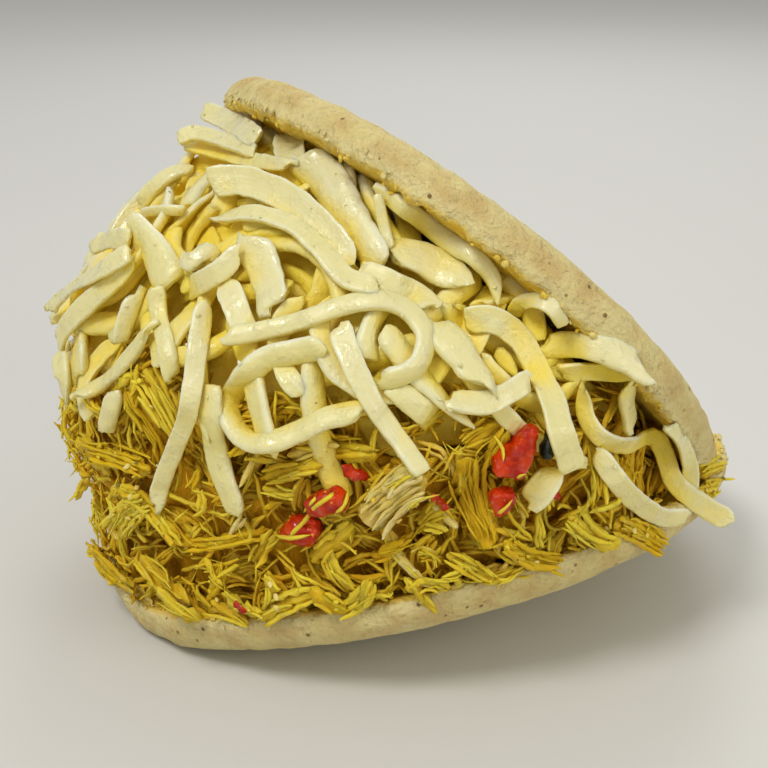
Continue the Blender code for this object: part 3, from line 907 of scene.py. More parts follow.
def chicken_finish(name, base, bright):
    """Meat streaked along its fibres, wet in places, and painted darker where it lies in shade.
    """
    material, start = new_finish(name)
    tone = start.value("tone")
    laid = start.joined(start.value("across"), start.value("along") * 0.12, tone * 3)
    streak = start.cloud(STREAK_SIZE, 3, 0.6, laid)
    blotch = start.cloud(MEAT_BLOTCH_SIZE)
    wet = start.cloud(WET_MEAT_SIZE).ease(0.5, 0.62)
    deep = start.value("deep")
    colour = (tone * 0.8 + blotch * 0.5).ease(0.15, 0.95).tint(base, bright)
    colour = (streak.ease(0.55, 0.75) * 0.5).tint(colour, TURMERIC_BRIGHT)
    colour = (start.value("edge").ease(0.75, 1.0) * 0.5).tint(colour, TURMERIC_BRIGHT)
    # Pale bare meat, kept out of the painted shade where it lies closed in.
    colour = (tone.ease(PALE_FROM, 0.94) * (1 - deep)).tint(colour, MEAT_PALE)
    colour = ((1 - streak.ease(0.3, 0.45)) * 0.45).tint(colour, TURMERIC_DARK)
    # Painted shade: darker where the meat turns away from the outside and from above, and where
    # it lies closed in.
    colour = (start.value("under") * 0.3).tint(colour, TURMERIC_DARK)
    colour = (deep.ease(0.35, 1.0) * 0.6).tint(colour, TURMERIC_DARK)
    set_finish(
        start,
        {
            "Base Color": colour,
            "Roughness": 0.4 + streak * 0.3,
            "Specular IOR Level": 0.12,
            "Coat Weight": wet * (0.6 - deep * 0.6),
            "Coat Roughness": 0.14,
            "Subsurface Weight": 0.35,
            "Subsurface Radius": (1.0, 0.65, 0.08),
            "Subsurface Scale": 1.4 * MM,
        },
        [(streak, 0.45 * MM), (start.cloud(MEAT_GRAIN_SIZE), 0.12 * MM)],
    )
    return material


def thread(points, facing, rng, tone):
    """One loose fibre."""
    width = THREAD_WIDTH * rng.uniform(0.5, 1.7)
    reaches = rng.uniform(1, 4, 2) * MM
    return band(points, facing, (width, width * 0.7, THREAD_RINGS), reaches, rng, tone=tone)


def shred(points, facing, width, rng, tone=None):
    """One shred along that line: a torn leaf of meat, fibres side by side on it that start
    and end apart and part towards the ends, and threads that fray from it. It returns the leaf
    with its fibres, and the threads."""
    tone = rng.random() if tone is None else tone
    side = across_line(points, facing)
    share = np.linspace(0, 1, len(points))
    cupped = rng.normal(0, 0.35)
    fibres, threads = [], []

    def stray(first, last, off, spray, lift):
        """Part of the line, shifted off it, that sprays out and lifts towards its ends."""
        kept = np.flatnonzero((share >= first) & (share <= last))
        near = share[kept] - share[kept].mean()
        shift = off + rng.normal(0, spray) * near + rng.normal(0, spray * 2) * near**2
        raised = lift + np.abs(rng.normal(0, spray * 1.4)) * (2 * near) ** 2
        line = points[kept] + side[kept] * shift[:, None] + facing[kept] * raised[:, None]
        return line, facing[kept]

    count = max(1, round(width / FIBRE_SPACING))
    if width > SHRED_LEAST and len(points) > 5:
        inner = slice(1, -1)
        sizes = (LEAF_WIDTH * width, LEAF_THICKNESS, SHRED_RINGS)
        line, faces = points[inner] - facing[inner] * LEAF_THICKNESS / 2, facing[inner]
        reaches = rng.uniform(1.0, 4.0, 2) * MM
        colour = tone if tone > PALE_FROM else tone * 0.7
        fibres.append(band(line, faces, sizes, reaches, rng, cupped / 2, 0.2, colour))
    for index in range(count):
        if rng.random() < FIBRE_GAPS * (count > 1):
            continue
        off = ((index + 0.5) / count - 0.5) * width
        first, last = np.abs(rng.normal(0, 0.16)), 1 - np.abs(rng.normal(0, 0.16))
        lift = cupped * off**2 / width + rng.normal(0, 0.09) * MM
        outer = abs(2 * index + 1 - count) / count
        line, faces = stray(first, last, off, (0.3 + outer * 1.1) * MM, lift)
        if len(line) < 4:
            continue
        reaches = rng.uniform(1.0, 5.0, 2) * MM
        colour = tone
        if tone <= PALE_FROM:
            colour = np.clip(tone + rng.normal(0, 0.12), 0, YELLOWEST)
        thickness = SHRED_THICKNESS * rng.uniform(0.7, 1.3)
        sizes = (rng.uniform(0.7, 1.8) * width / count, thickness, SHRED_RINGS)
        faces = twisted(line, faces, rng, 0.35)
        hollow, pointed = rng.normal(0, 0.2), rng.uniform(0, 0.6)
        fibres.append(band(line, faces, sizes, reaches, rng, hollow, pointed, colour))
    for _ in range(rng.integers(1, 3 + int(width / THREAD_SPACING))):
        first = rng.uniform(0.0, 0.5)
        off = rng.uniform(-0.55, 0.55) * width
        line, faces = stray(first, first + rng.uniform(0.35, 0.6), off, 2.4 * MM, 0.5 * MM)
        if len(line) > 3:
            threads.append(thread(line, faces, rng, np.clip(tone + 0.1, 0, 0.88)))
    return fibres, threads


def start_low(mask, rng, tries):
    """Of some random spots where the mask holds, the one that is filled least."""
    rows, columns = np.nonzero(mask)
    weight = np.cos(heap.rises[rows, columns])
    picks = rng.choice(len(rows), tries, p=weight / weight.sum())
    lack = (heap.reach - heap.level)[rows[picks], columns[picks]]
    best = picks[np.argmax(lack)]
    return heap.ways[rows[best], columns[best]]


def twisted(points, facing, rng, most):
    """The facing turned about the line, by an angle that drifts along it."""
    share = np.linspace(0, 1, len(points))
    roll = rng.normal(0, most) + rng.normal(0, most) * np.sin(share * 3 + rng.uniform(0, 3))
    side = across_line(points, facing)
    return unit(facing * np.cos(roll)[:, None] + side * np.sin(roll)[:, None])


def within(ways, allowed):
    """Those directions, up to the first that isn't allowed."""
    inside = allowed[heap.cell(ways)]
    return ways[: len(ways) if inside.all() else int(np.argmin(inside))]


def scatter_shreds(count, widths, lengths, seed, tries):
    """Shreds laid one on the other where the heap is lowest. It returns their leaves and
    fibres, and the threads."""
    rng = np.random.default_rng(seed)
    zone = heap.spread(heap.chicken, CHICKEN_BEHIND, np.maximum)
    zone &= heap.spread(heap.open, UNDER_EDGE, np.maximum)
    allowed = heap.spread(zone, 2, np.maximum)
    leaves, threads = [], []
    for _ in range(count):
        start = start_low(zone, rng, tries)
        length = rng.uniform(*lengths)
        width = rng.uniform(*widths)
        steps = max(4, int(length / SHRED_STEP))
        radius = heap.reach[heap.cell(start)]
        bends = rng.normal(0, 0.12) + rng.normal(0, 0.14, steps)
        ways = within(walk(start, rng.normal(size=3), bends, SHRED_STEP / radius), allowed)
        if len(ways) < 5:
            continue
        radii = heap.drape(ways, width, SHRED_THICKNESS, 3)
        if heap.full > TOO_FULL and width > SHRED_LEAST:
            continue
        heap.fill(ways, radii + SHRED_THICKNESS * 0.7, width / 2)
        kink = np.cumsum(rng.normal(0, 0.3 * MM, len(ways)))
        points = HEAP_MIDDLE + ways * (radii + np.clip(kink, -0.4 * MM, 1.6 * MM))[:, None]
        facing = twisted(points, ways, rng, 0.4)
        if width < BIT_LEAST:
            threads.append(thread(points, facing, rng, rng.uniform(0.3, 0.9)))
            continue
        made, frayed = shred(points, facing, width, rng)
        leaves += made
        threads += frayed
    return leaves, threads


FIBRE_SIZES = {
    "Sides": 5,
    "Squareness": 0.8,
    "Tear": 0.8,
    "Tear Size": 1.3 * MM,
    "Ridge": 0.12 * MM,
    "Ridge Size": 0.6 * MM,
    "Crinkle": 0.5 * MM,
    "Crinkle Size": 1.8 * MM,
}
THREAD_SIZES = {
    "Sides": 4,
    "Squareness": 1.0,
    "Tear": 0.4,
    "Tear Size": 1.4 * MM,
    "Ridge": 0.0,
    "Ridge Size": 1.0 * MM,
    "Crinkle": 0.3 * MM,
    "Crinkle Size": 2.0 * MM,
}


def add_chicken(name, strands, sizes, finish):
    """Strands of meat as one piece."""
    mesh = skin_lines(strands, {**sizes, "Finish": finish})
    return add_piece(name, mesh, finish, "shredded_chicken", "shredded_chicken")


def shredded_chicken():
    """A core, the shreds and bits scattered on it, and the single shreds laid on top."""
    under = core("shredded_chicken", CHICKEN_DEPTH, CHICKEN_RELIEF)
    points = points_of(under)
    mark(under, "tone", np.full(len(points), 0.2))
    for name, size, axis in (("across", 7 * MM, 0), ("along", 11 * MM, 1)):
        mark(under, name, points[:, axis] + 5 * MM * lumps(points, size, axis + 3))
    # The core wears darker meat as painted shade, for it shows only in the gaps between the
    # shreds.
    dark = chicken_finish("chicken_core", TURMERIC_DARK, TURMERIC)
    add_piece("chicken_core", under, dark, "shredded_chicken", "shredded_chicken")
    depth = np.where(heap.chicken, CHICKEN_DEPTH, CHEESE_DEPTH) * heap.hollow
    heap.level = np.minimum(heap.bed, heap.reach) - depth
    finish = chicken_finish("chicken_shreds", TURMERIC, TURMERIC_BRIGHT)
    shreds, threads = scatter_shreds(*SHREDS)
    bits, more = scatter_shreds(*BITS)
    sight.add(add_chicken("chicken_shreds", shreds, FIBRE_SIZES, finish))
    sight.add(add_chicken("chicken_bits", bits, FIBRE_SIZES, finish))
    sight.add(add_chicken("chicken_threads", threads + more, THREAD_SIZES, finish))
    rng = np.random.default_rng(13)
    top, frayed = [], []
    drawn_shreds = [(*drawn, 0.0) for drawn in TOP_SHREDS]
    drawn_shreds += [(*drawn, PALEST) for drawn in PALE_SHREDS]
    for width, drawn, least in drawn_shreds:
        points, facing = sight.lay(drawn, width * MM, SHRED_THICKNESS, SHRED_STEP * 0.7, 6)
        if width < 1.5:
            frayed += [thread(points, facing, rng, 0.7) for _ in range(2)]
            continue
        tone = max(least, rng.uniform(0, YELLOWEST))
        made, loose = shred(points, facing, width * MM, rng, tone)
        top += made
        frayed += loose
    add_chicken("chicken_top", top, FIBRE_SIZES, finish)
    add_chicken("chicken_top_threads", frayed, THREAD_SIZES, finish)


shredded_chicken()

# ---------------------------------------------------------------------------
# The pepper. Lumps of cooked red pepper and one of dark green, cut by hand and caught in the
# chicken: wet, uneven and specked with seeds and threads of meat.
PEPPER_VOXEL = 0.4 * MM
PEPPER_SMOOTHING = 2
PEPPER_RELIEF = [(3.4 * MM, 0.7 * MM, 5), (1.3 * MM, 0.3 * MM, 6)]
PEPPER_CLOUD_SIZE = 2.2 * MM
SEED_SPACING = 1.3 * MM
SLIVER_THICKNESS = 0.7 * MM
PEPPER_COLOURS = {
    "red_pepper": ((0.60, 0.042, 0.002, 1), (0.38, 0.012, 0.001, 1), (0.85, 0.36, 0.05, 1)),
    "green_pepper": ((0.018, 0.035, 0.012, 1), (0.006, 0.012, 0.005, 1), (0.10, 0.16, 0.03, 1)),
}


def pepper_finish(name):
    """Wet cooked skin, cloudy and specked."""
    material, start = new_finish(name)
    body, shade, speck = PEPPER_COLOURS[name]
    cloud = start.cloud(PEPPER_CLOUD_SIZE)
    colour = cloud.ease(0.35, 0.65).tint(body, shade)
    specks = 1 - start.cells(SEED_SPACING).ease(0.12, 0.25)
    colour = (specks * start.cloud(2 * MM).ease(0.5, 0.6)).tint(colour, speck)
    set_finish(
        start,
        {
            "Base Color": colour,
            "Roughness": 0.16 + cloud * 0.2,
            "Specular IOR Level": 0.2,
            "Coat Weight": start.cloud(1.2 * MM).ease(0.45, 0.6) * 0.8,
            "Coat Roughness": 0.08,
            "Subsurface Weight": 0.15,
            "Subsurface Radius": (1.0, 0.2, 0.08),
            "Subsurface Scale": 1.5 * MM,
        },
        [(cloud, 0.8 * MM), (start.cloud(0.5 * MM), 0.2 * MM)],
    )
    return material


# The thin slivers of red skin, each with its width and its line on the sheet, and the shreds
# of meat that lie over the lumps.
SLIVERS = [
    (1.7, [(-6.5, -12.6), (-4.5, -14), (-2.4, -14.4)]),
    (1.5, [(7.2, -17.4), (8.6, -18.2), (9.8, -19.6)]),
    (1.3, [(-23.4, -34), (-22.4, -34.6), (-21.4, -35.6)]),
    (1.2, [(25, -15.5), (26, -17), (27.5, -17.8)]),
]
OVER_LUMPS = [
    (0.7, [(-15.5, -24.5), (-12.5, -21.5), (-10.5, -19), (-6, -16)]),
    (0.6, [(-12.5, -20), (-10.5, -17.5), (-10, -15.5), (-11, -13)]),
    (0.8, [(-17, -23.5), (-14.5, -24), (-11.5, -23.5)]),
    (0.6, [(-8, -20.5), (-6, -18.5), (-5.5, -15.5)]),
    (0.7, [(16.5, -14), (19, -15), (22, -14)]),
    (0.6, [(17, -8), (18.5, -10), (18.5, -12)]),
    (0.6, [(16, -19.5), (18, -20), (20, -18)]),
]


def peppers():
    """The lumps, the slivers beside them and the meat that lies over them."""
    finishes = {name: pepper_finish(name) for name in PEPPER_COLOURS}
    for node in [n for n in frame["nodes"] if "pepper" in n]:
        kind = "green_pepper" if node == "green_pepper" else "red_pepper"
        mesh = even_mesh(node, PEPPER_VOXEL, PEPPER_SMOOTHING)
        points = points_of(mesh)
        height = relief(points, PEPPER_RELIEF)
        move_points(mesh, points + normals_of(mesh) * height[:, None])
        sight.add(add_piece(node.replace("pepper", "lump"), mesh, finishes[kind], kind, node))
    rng = np.random.default_rng(15)
    slivers, threads = [], []
    for width, drawn in SLIVERS:
        sizes = (width * MM, SLIVER_THICKNESS, SHRED_STEP / 2)
        line = sight.lay(drawn, *sizes, 2)
        slivers.append(band(*line, sizes, rng.uniform(0.3, 1.2, 2) * MM, rng, 0.3, 0.3))
    for width, drawn in OVER_LUMPS:
        sizes = (width * MM, SLIVER_THICKNESS, SHRED_STEP / 2)
        line = sight.lay(drawn, *sizes, 2)
        threads.append(band(*line, sizes, (3 * MM, 3 * MM), rng, 0.1, 0.3, 0.85))
    mesh = skin_lines(slivers, {**FIBRE_SIZES, "Finish": finishes["red_pepper"]})
    add_piece("red_slivers", mesh, finishes["red_pepper"], "red_pepper")
    meat = bpy.data.objects["chicken_bits"].data.materials[0]
    add_chicken("chicken_over", threads, THREAD_SIZES, meat)


peppers()

# ---------------------------------------------------------------------------
# The grated cheese. A firm white cheese pushed through the coarse holes of a grater: soft
# waxy strips 3 to 6 mm wide that bend over each other, with cut or ragged ends.
CHEESE_RELIEF = [(8 * MM, 1.0 * MM, 0), (3.5 * MM, 0.6 * MM, 1)]
STRIP_COUNT = 1000
STRIP_SPOTS = 20
STRIP_STEP = 1.6 * MM
STRIP_LENGTHS = (12, 40)
STRIP_WIDTH = 3.6 * MM
STRIP_THICKNESS = 1.5 * MM
STRIP_RINGS = 1.05 * MM
STRIP_SLANT = 0.2
STRIP_CUT = 0.35 * MM
STRIP_OVERHANG = 6
STRIPS_FULL = 0.45
CHEESE_CLOUD_SIZE = 5 * MM
CHEESE_WAVE_SIZE = 3 * MM
WET_CHEESE_SIZE = 2.5 * MM
BEAD_SIZE = 0.6 * MM
SCRAPE_SIZE = 0.45 * MM
DOWNHILL = np.array((-0.3, 0.0, -1.0))
# The pale of dry scraped flecks, and the painted highlight along each strip's edges.
CHEESE_DRY_AND_HIGHLIGHT = (0.80, 0.79, 0.64, 1)
CHEESE_PALE = (0.72, 0.72, 0.53, 1)
CHEESE_CREAM = (0.71, 0.69, 0.40, 1)
# Painted shade: in a strip's middle and underside, and golden where it lies closed in.
CHEESE_SHADE = (0.75, 0.64, 0.17, 1)
CHEESE_GAP_SHADE = (0.92, 0.71, 0.05, 1)
# Each strip on top, from the lowest to the highest: its width, and its line on the sheet.
TOP_STRIPS = [
    (6.0, [(0.5, 21), (5, 20), (9, 18), (13.5, 15.5)]),
    (3.6, [(10, -2.5), (15.5, -3), (20, -1), (22.5, 0.5)]),
    (4.0, [(38.5, 1), (38, -2.5), (38.5, -6.5)]),
    (3.1, [(-1, 30), (5, 26), (10.5, 22), (14, 20), (17, 16.5), (17.5, 12.5)]),
    (1.8, [(-1, 29.5), (0, 24.5), (1, 21)]),
    (4.6, [(22.5, -18.5), (24.5, -16), (27, -13)]),
    (5.8, [(-21.5, 23), (-19.5, 20), (-18, 16), (-17.5, 12)]),
    (4.1, [(-24.5, 17), (-23.5, 13), (-21.5, 8)]),
    (6.0, [(-30, 20.5), (-29, 20), (-27.5, 19)]),
    (6.4, [(-39, 23.5), (-36.5, 21), (-35, 18.5), (-33, 15.5)]),
    (6.2, [(-13, 35.5), (-8.5, 31), (-5.5, 25.5), (-2.5, 21), (-0.5, 17.5)]),
    (4.0, [(-4, 17.5), (0.5, 16), (4.5, 14), (7.5, 12)]),
    (2.8, [(-30.5, 37), (-24, 35.5), (-19, 34.5), (-14.5, 34)]),
    (2.9, [(-32, 38), (-29.5, 39), (-25.5, 38), (-20, 36)]),
    (3.9, [(-28, 42.5), (-25.5, 41.5), (-22.5, 40), (-19.5, 38)]),
    (3.3, [(-38, 28), (-36, 30.5), (-33.5, 32.5), (-30, 34)]),
    (1.8, [(-38, 26.5), (-35, 27), (-31, 27)]),
    (4.9, [(-27, 31.5), (-21.5, 31.5), (-16, 29.5), (-12, 26.5), (-8, 22.5), (-5, 18.5)]),
    (3.4, [(-25.5, 26), (-20.5, 26.5), (-15, 25), (-10, 21), (-6, 16.5), (-1, 15)]),
    (5.4, [(8, 9.5), (11.5, 5.5), (14, 2), (16, -0.5)]),
    (4.6, [(1.5, -0.5), (6.5, -4.5), (10.5, -8)]),
    (2.5, [(20, 10.5), (21, 12.5), (24, 13), (26.5, 11.5), (28, 9)]),
    (3.0, [(27.5, 2), (34, 2), (40, 1)]),
    (4.4, [(25, 6), (31, 6), (36.5, 4.5), (40.5, 2)]),
    (2.8, [(44, -6.5), (46, -8.5), (47.5, -13), (47.5, -17)]),
    (3.4, [(33, -10.5), (35.5, -14), (38.5, -17.5), (43, -20.5), (47, -20.5)]),
    (3.3, [(31, 0), (31.5, -5), (34, -8.5), (38, -9.5), (41.5, -8), (43.5, -10.5), (45, -15),
           (49, -18.5), (54, -21.5)]),
    (2.4, [(17.5, 5.5), (19, 3.5), (20.5, 2)]),
    (4.2, [(12.5, 10), (17, 10), (21, 7), (23.5, 2.5), (26, -2.5), (27.5, -8), (29.5, -13.5)]),
    (3.2, [(-45.5, 21), (-42.5, 22.5), (-39.5, 22.5)]),
    (3.8, [(-50.5, 6), (-49.5, 9), (-46, 12.5), (-42, 16), (-40, 18.5)]),
    (3.4, [(-52, 11.5), (-48.5, 15), (-43.5, 18), (-39.5, 20.5)]),
    (3.6, [(-22.5, 21), (-25, 18), (-29, 15.5), (-33, 13)]),
    (3.0, [(-38.5, 14.5), (-40, 10.5), (-41, 6.5)]),
    (3.0, [(-35.5, 15), (-35, 10.5), (-34, 6), (-33, 1)]),
    (3.6, [(-50.5, 5), (-50, 1.5), (-49.5, -2)]),
    (3.0, [(-48, -2), (-44, 0), (-40, 4), (-36.5, 8.5)]),
    (3.6, [(-43.5, -7.5), (-43, -4.5), (-41.5, -1)]),
    (4.4, [(-27.5, 0), (-27, -6.5), (-26, -12), (-24.5, -16.5), (-23, -20.5)]),
    (3.1, [(-28, 13), (-29, 5.5), (-30.5, -4.5), (-32.5, -10), (-34.5, -15), (-35.5, -19)]),
    (3.9, [(-9, 5.5), (-13, 5), (-18.5, 3.5), (-22, 0.5), (-24, -3.5), (-22.5, -7.5), (-19, -9),
           (-14, -7.5), (-8.5, -5), (-3, -4)]),
    (3.4, [(-7, 9), (-5, 3.5), (-1.5, -3.5), (2.5, -9), (6, -14)]),
    (3.2, [(-24.5, 7.5), (-20.5, 8), (-14, 9.5), (-8.5, 11.5), (-3.5, 13), (0.5, 13), (4, 11.5),
           (6.5, 8), (6, 4), (3.5, 1.5), (-0.5, 0.5)]),
]


def cheese_finish():
    """Pale waxy cheese, wet in places, with painted highlights on its edges and golden painted
    shade in the gaps.
    """
    material, start = new_finish("grated_cheese")
    tone = start.value("tone")
    deep = start.value("deep")
    cloud = start.cloud(CHEESE_CLOUD_SIZE)
    wet = start.cloud(WET_CHEESE_SIZE).ease(0.42, 0.66)
    beads = start.cloud(BEAD_SIZE, 1)
    edge = start.value("edge")
    laid = start.joined(start.value("across"), start.value("along") * 0.06, tone * 3)
    scraped = start.cloud(SCRAPE_SIZE, 2, where=laid)
    colour = (tone * 0.6 + cloud * 0.5).ease(0.2, 0.9).tint(CHEESE_PALE, CHEESE_CREAM)
    # Painted shade, darker and more golden in the middle of each strip than at its edges.
    colour = ((1 - edge.ease(0.4, 0.95)) * 0.4).tint(colour, CHEESE_SHADE)
    colour = (scraped.ease(0.5, 0.75) * 0.3).tint(colour, CHEESE_DRY_AND_HIGHLIGHT)
    # Painted highlight: a pale rim along each strip's edges.
    colour = (edge.ease(0.8, 1.0) * 0.55).tint(colour, CHEESE_DRY_AND_HIGHLIGHT)
    # Painted shade on the sides and undersides, and golden painted shade where the strip lies
    # closed in.
    colour = (start.value("under") * 0.85).tint(colour, CHEESE_SHADE)
    colour = (deep.ease(0.3, 0.9) * 0.95).tint(colour, CHEESE_GAP_SHADE)
    set_finish(
        start,
        {
            "Base Color": colour,
            "Roughness": 0.38 - wet * 0.16 + deep * 0.2,
            "Specular IOR Level": 0.45,
            "Coat Weight": wet * (0.9 - deep * 0.9),
            "Coat Roughness": 0.07,
            "Subsurface Weight": 0.4,
            "Subsurface Radius": (1.0, 0.85, 0.45),
            "Subsurface Scale": 1.6 * MM,
        },
        [
            (start.cloud(CHEESE_WAVE_SIZE), 0.3 * MM),
            (beads * wet, 0.22 * MM),
            (scraped, 0.05 * MM),
        ],
    )
    return material


def strip(points, facing, width, thickness, rng, cut=0.6, uneven=1.0):
    """One strip of cheese along that line, its ends cut, rounded or drawn to a point. cut is
    the share of ends that are cut, and uneven says how much its width and hollow vary."""
    reaches = []
    for _ in range(2):
        kind = rng.random()
        if kind < cut:
            reaches.append(STRIP_CUT)
        elif kind < 0.9:
            reaches.append(width * rng.uniform(0.3, 0.8))
        else:
            reaches.append(width * rng.uniform(1.5, 3))
    hollow = rng.choice((-1.2, 1)) * rng.uniform(0.05, 0.4) * (0.5 + 0.5 * uneven)
    made = band(points, facing, (width, thickness, STRIP_RINGS), reaches, rng, hollow, 0.2)
    share = made["along"] - made["along"][0]
    share /= share[-1]
    taper = rng.normal(0, 0.16) * (share - 0.5) * 2
    taper += 0.08 * np.sin(share * rng.uniform(4, 12) + rng.uniform(0, 6))
    made["half_wide"] *= 1 + taper * uneven
    gone = share * (made["along"][-1] - made["along"][0])
    for near in (gone, gone[-1] - gone):
        made["slant"] += rng.normal(0, STRIP_SLANT * width) * np.clip(1 - near / width, 0, 1)
    return made


def scatter_strips(count, seed):
    """Strips laid one on the other where the pile is lowest."""
    rng = np.random.default_rng(seed)
    strands = []
    zone = heap.spread(heap.cheese, STRIP_OVERHANG, np.maximum) | ~heap.open
    for _ in range(count):
        start = start_low(heap.cheese, rng, STRIP_SPOTS)
        length = rng.uniform(*STRIP_LENGTHS) * MM
        width = rng.uniform(0.65, 1.4) * STRIP_WIDTH
        thickness = STRIP_THICKNESS * rng.uniform(0.75, 1.2)
        steps = int(length / STRIP_STEP)
        radius = heap.reach[heap.cell(start)]
        curl = rng.normal(0, 0.05) if rng.random() > 0.25 else rng.choice([-1, 1]) * 0.17
        bends = curl + rng.normal(0, 0.03, steps)
        heading = unit(rng.normal(size=3)) * 0.9 + DOWNHILL * rng.choice((-1, 1))
        ways = within(walk(start, heading, bends, STRIP_STEP / radius), zone)
        if len(ways) < 5:
            continue
        lean = max(0, rng.normal(0, 1.6 * MM))
        radii = heap.drape(ways, width, thickness, 30, lean)
        if heap.full > STRIPS_FULL:
            continue
        heap.fill(ways, radii + thickness / 2, width * 0.45)
        points = HEAP_MIDDLE + ways * radii[:, None]
        strands.append(strip(points, twisted(points, ways, rng, 0.5), width, thickness, rng))
    return strands


STRIP_SIZES = {
    "Sides": 12,
    "Squareness": 0.55,
    "Tear": 0.12,
    "Tear Size": 2.4 * MM,
    "Ridge": 0.07 * MM,
    "Ridge Size": 1.1 * MM,
    "Crinkle": 0.24 * MM,
    "Crinkle Size": 3.5 * MM,
}


def grated_cheese():
    """A core, the strips piled on it, and the single strips laid on top."""
    finish = cheese_finish()
    under = core("grated_cheese", CHEESE_DEPTH, CHEESE_RELIEF)
    mark(under, "tone", np.full(len(under.vertices), 1.0))
    add_piece("cheese_core", under, finish, "grated_cheese", "grated_cheese")
    pile = skin_lines(scatter_strips(STRIP_COUNT, 21), {**STRIP_SIZES, "Finish": finish})
    sight.add(add_piece("cheese_pile", pile, finish, "grated_cheese", "grated_cheese"))
    rng = np.random.default_rng(22)
    top = []
    for width, drawn in TOP_STRIPS:
        thickness = STRIP_THICKNESS * rng.uniform(0.8, 1.05)
        points, facing = sight.lay(drawn, width * MM, thickness, STRIP_STEP * 0.7, 12)
        facing = twisted(points, facing, rng, 0.25)
        top.append(strip(points, facing, width * MM, thickness, rng, 0.7, 0.5))
    strips = skin_lines(top, {**STRIP_SIZES, "Sides": 16, "Tear": 0.08, "Finish": finish})
    add_piece("cheese_strips", strips, finish, "grated_cheese", "grated_cheese")


grated_cheese()

# ---------------------------------------------------------------------------
# Shade in the filling. Strands that lie low or turn away from the outside are darker and
# deeper in colour, because the light that reaches them has come through others.
SHADE_STEPS = (2, 4, 7)
SHADE_TURNS = 8
STEEPEST = 0.15
IN_SHADE, IN_LIGHT = -0.1, 0.8


def shade_filling():
    """Marks each point of the filling with how closed in it lies and how far it turns in."""
    names = [name for name in bpy.data.objects.keys() if name.startswith(("chicken_", "cheese_"))]
    meshes = [bpy.data.objects[name].data for name in sorted(names)]
    top = np.zeros(heap.turns.shape)
    for mesh in meshes:
        ways, far = heap.polar(points_of(mesh))
        np.maximum.at(top, heap.cell(ways), far)
    top = heap.spread(top, 1, np.maximum)
    for mesh in meshes:
        ways, far = heap.polar(points_of(mesh))
        rows, columns = heap.cell(ways)
        stretch = 1 / np.maximum(STEEPEST, np.cos(heap.rises[rows, 0]))
        closed = np.zeros(len(far))
        for turn in np.arange(SHADE_TURNS) * 2 * math.pi / SHADE_TURNS:
            highest = np.zeros(len(far))
            for step in SHADE_STEPS:
                row = np.clip(rows + round(step * math.sin(turn)), 0, len(top) - 1)
                beside = np.rint(step * math.cos(turn) * stretch).astype(int)
                rise = top[row, (columns + beside) % TURN_CELLS] - far
                highest = np.maximum(highest, rise / np.hypot(rise, np.radians(step) * far))
            closed += highest / SHADE_TURNS
        mark(mesh, "deep", closed)
        normals = normals_of(mesh)
        lit = 0.5 * (normals * ways).sum(1) + 0.5 * normals[:, 2]
        mark(mesh, "under", 1 - smooth_step(lit, IN_SHADE, IN_LIGHT))


shade_filling()

# ---------------------------------------------------------------------------
# Crumbs. Grains of corn crumb along the torn rims, scraps of meat and of cheese that fell on
# what lies below, and flecks of herb. Each lies loose on the outside of the filled cake.
# How many, how small and how large, how flat, and the seed.
CORN_CRUMBS = (380, 0.4 * MM, 1.5 * MM, 0.8, 31)
MEAT_CRUMBS = (420, 0.35 * MM, 1.1 * MM, 0.7, 32)
HERB_FLECKS = (46, 0.3 * MM, 0.9 * MM, 0.35, 33)
CHEESE_CRUMBS = (90, 0.3 * MM, 0.9 * MM, 0.7, 34)
CRUMB_LUMP = 0.7 * MM
CRUMB_FLOOR = 2 * MM
HERB = (0.045, 0.05, 0.006, 1)
HERB_LIGHT = (0.20, 0.19, 0.02, 1)


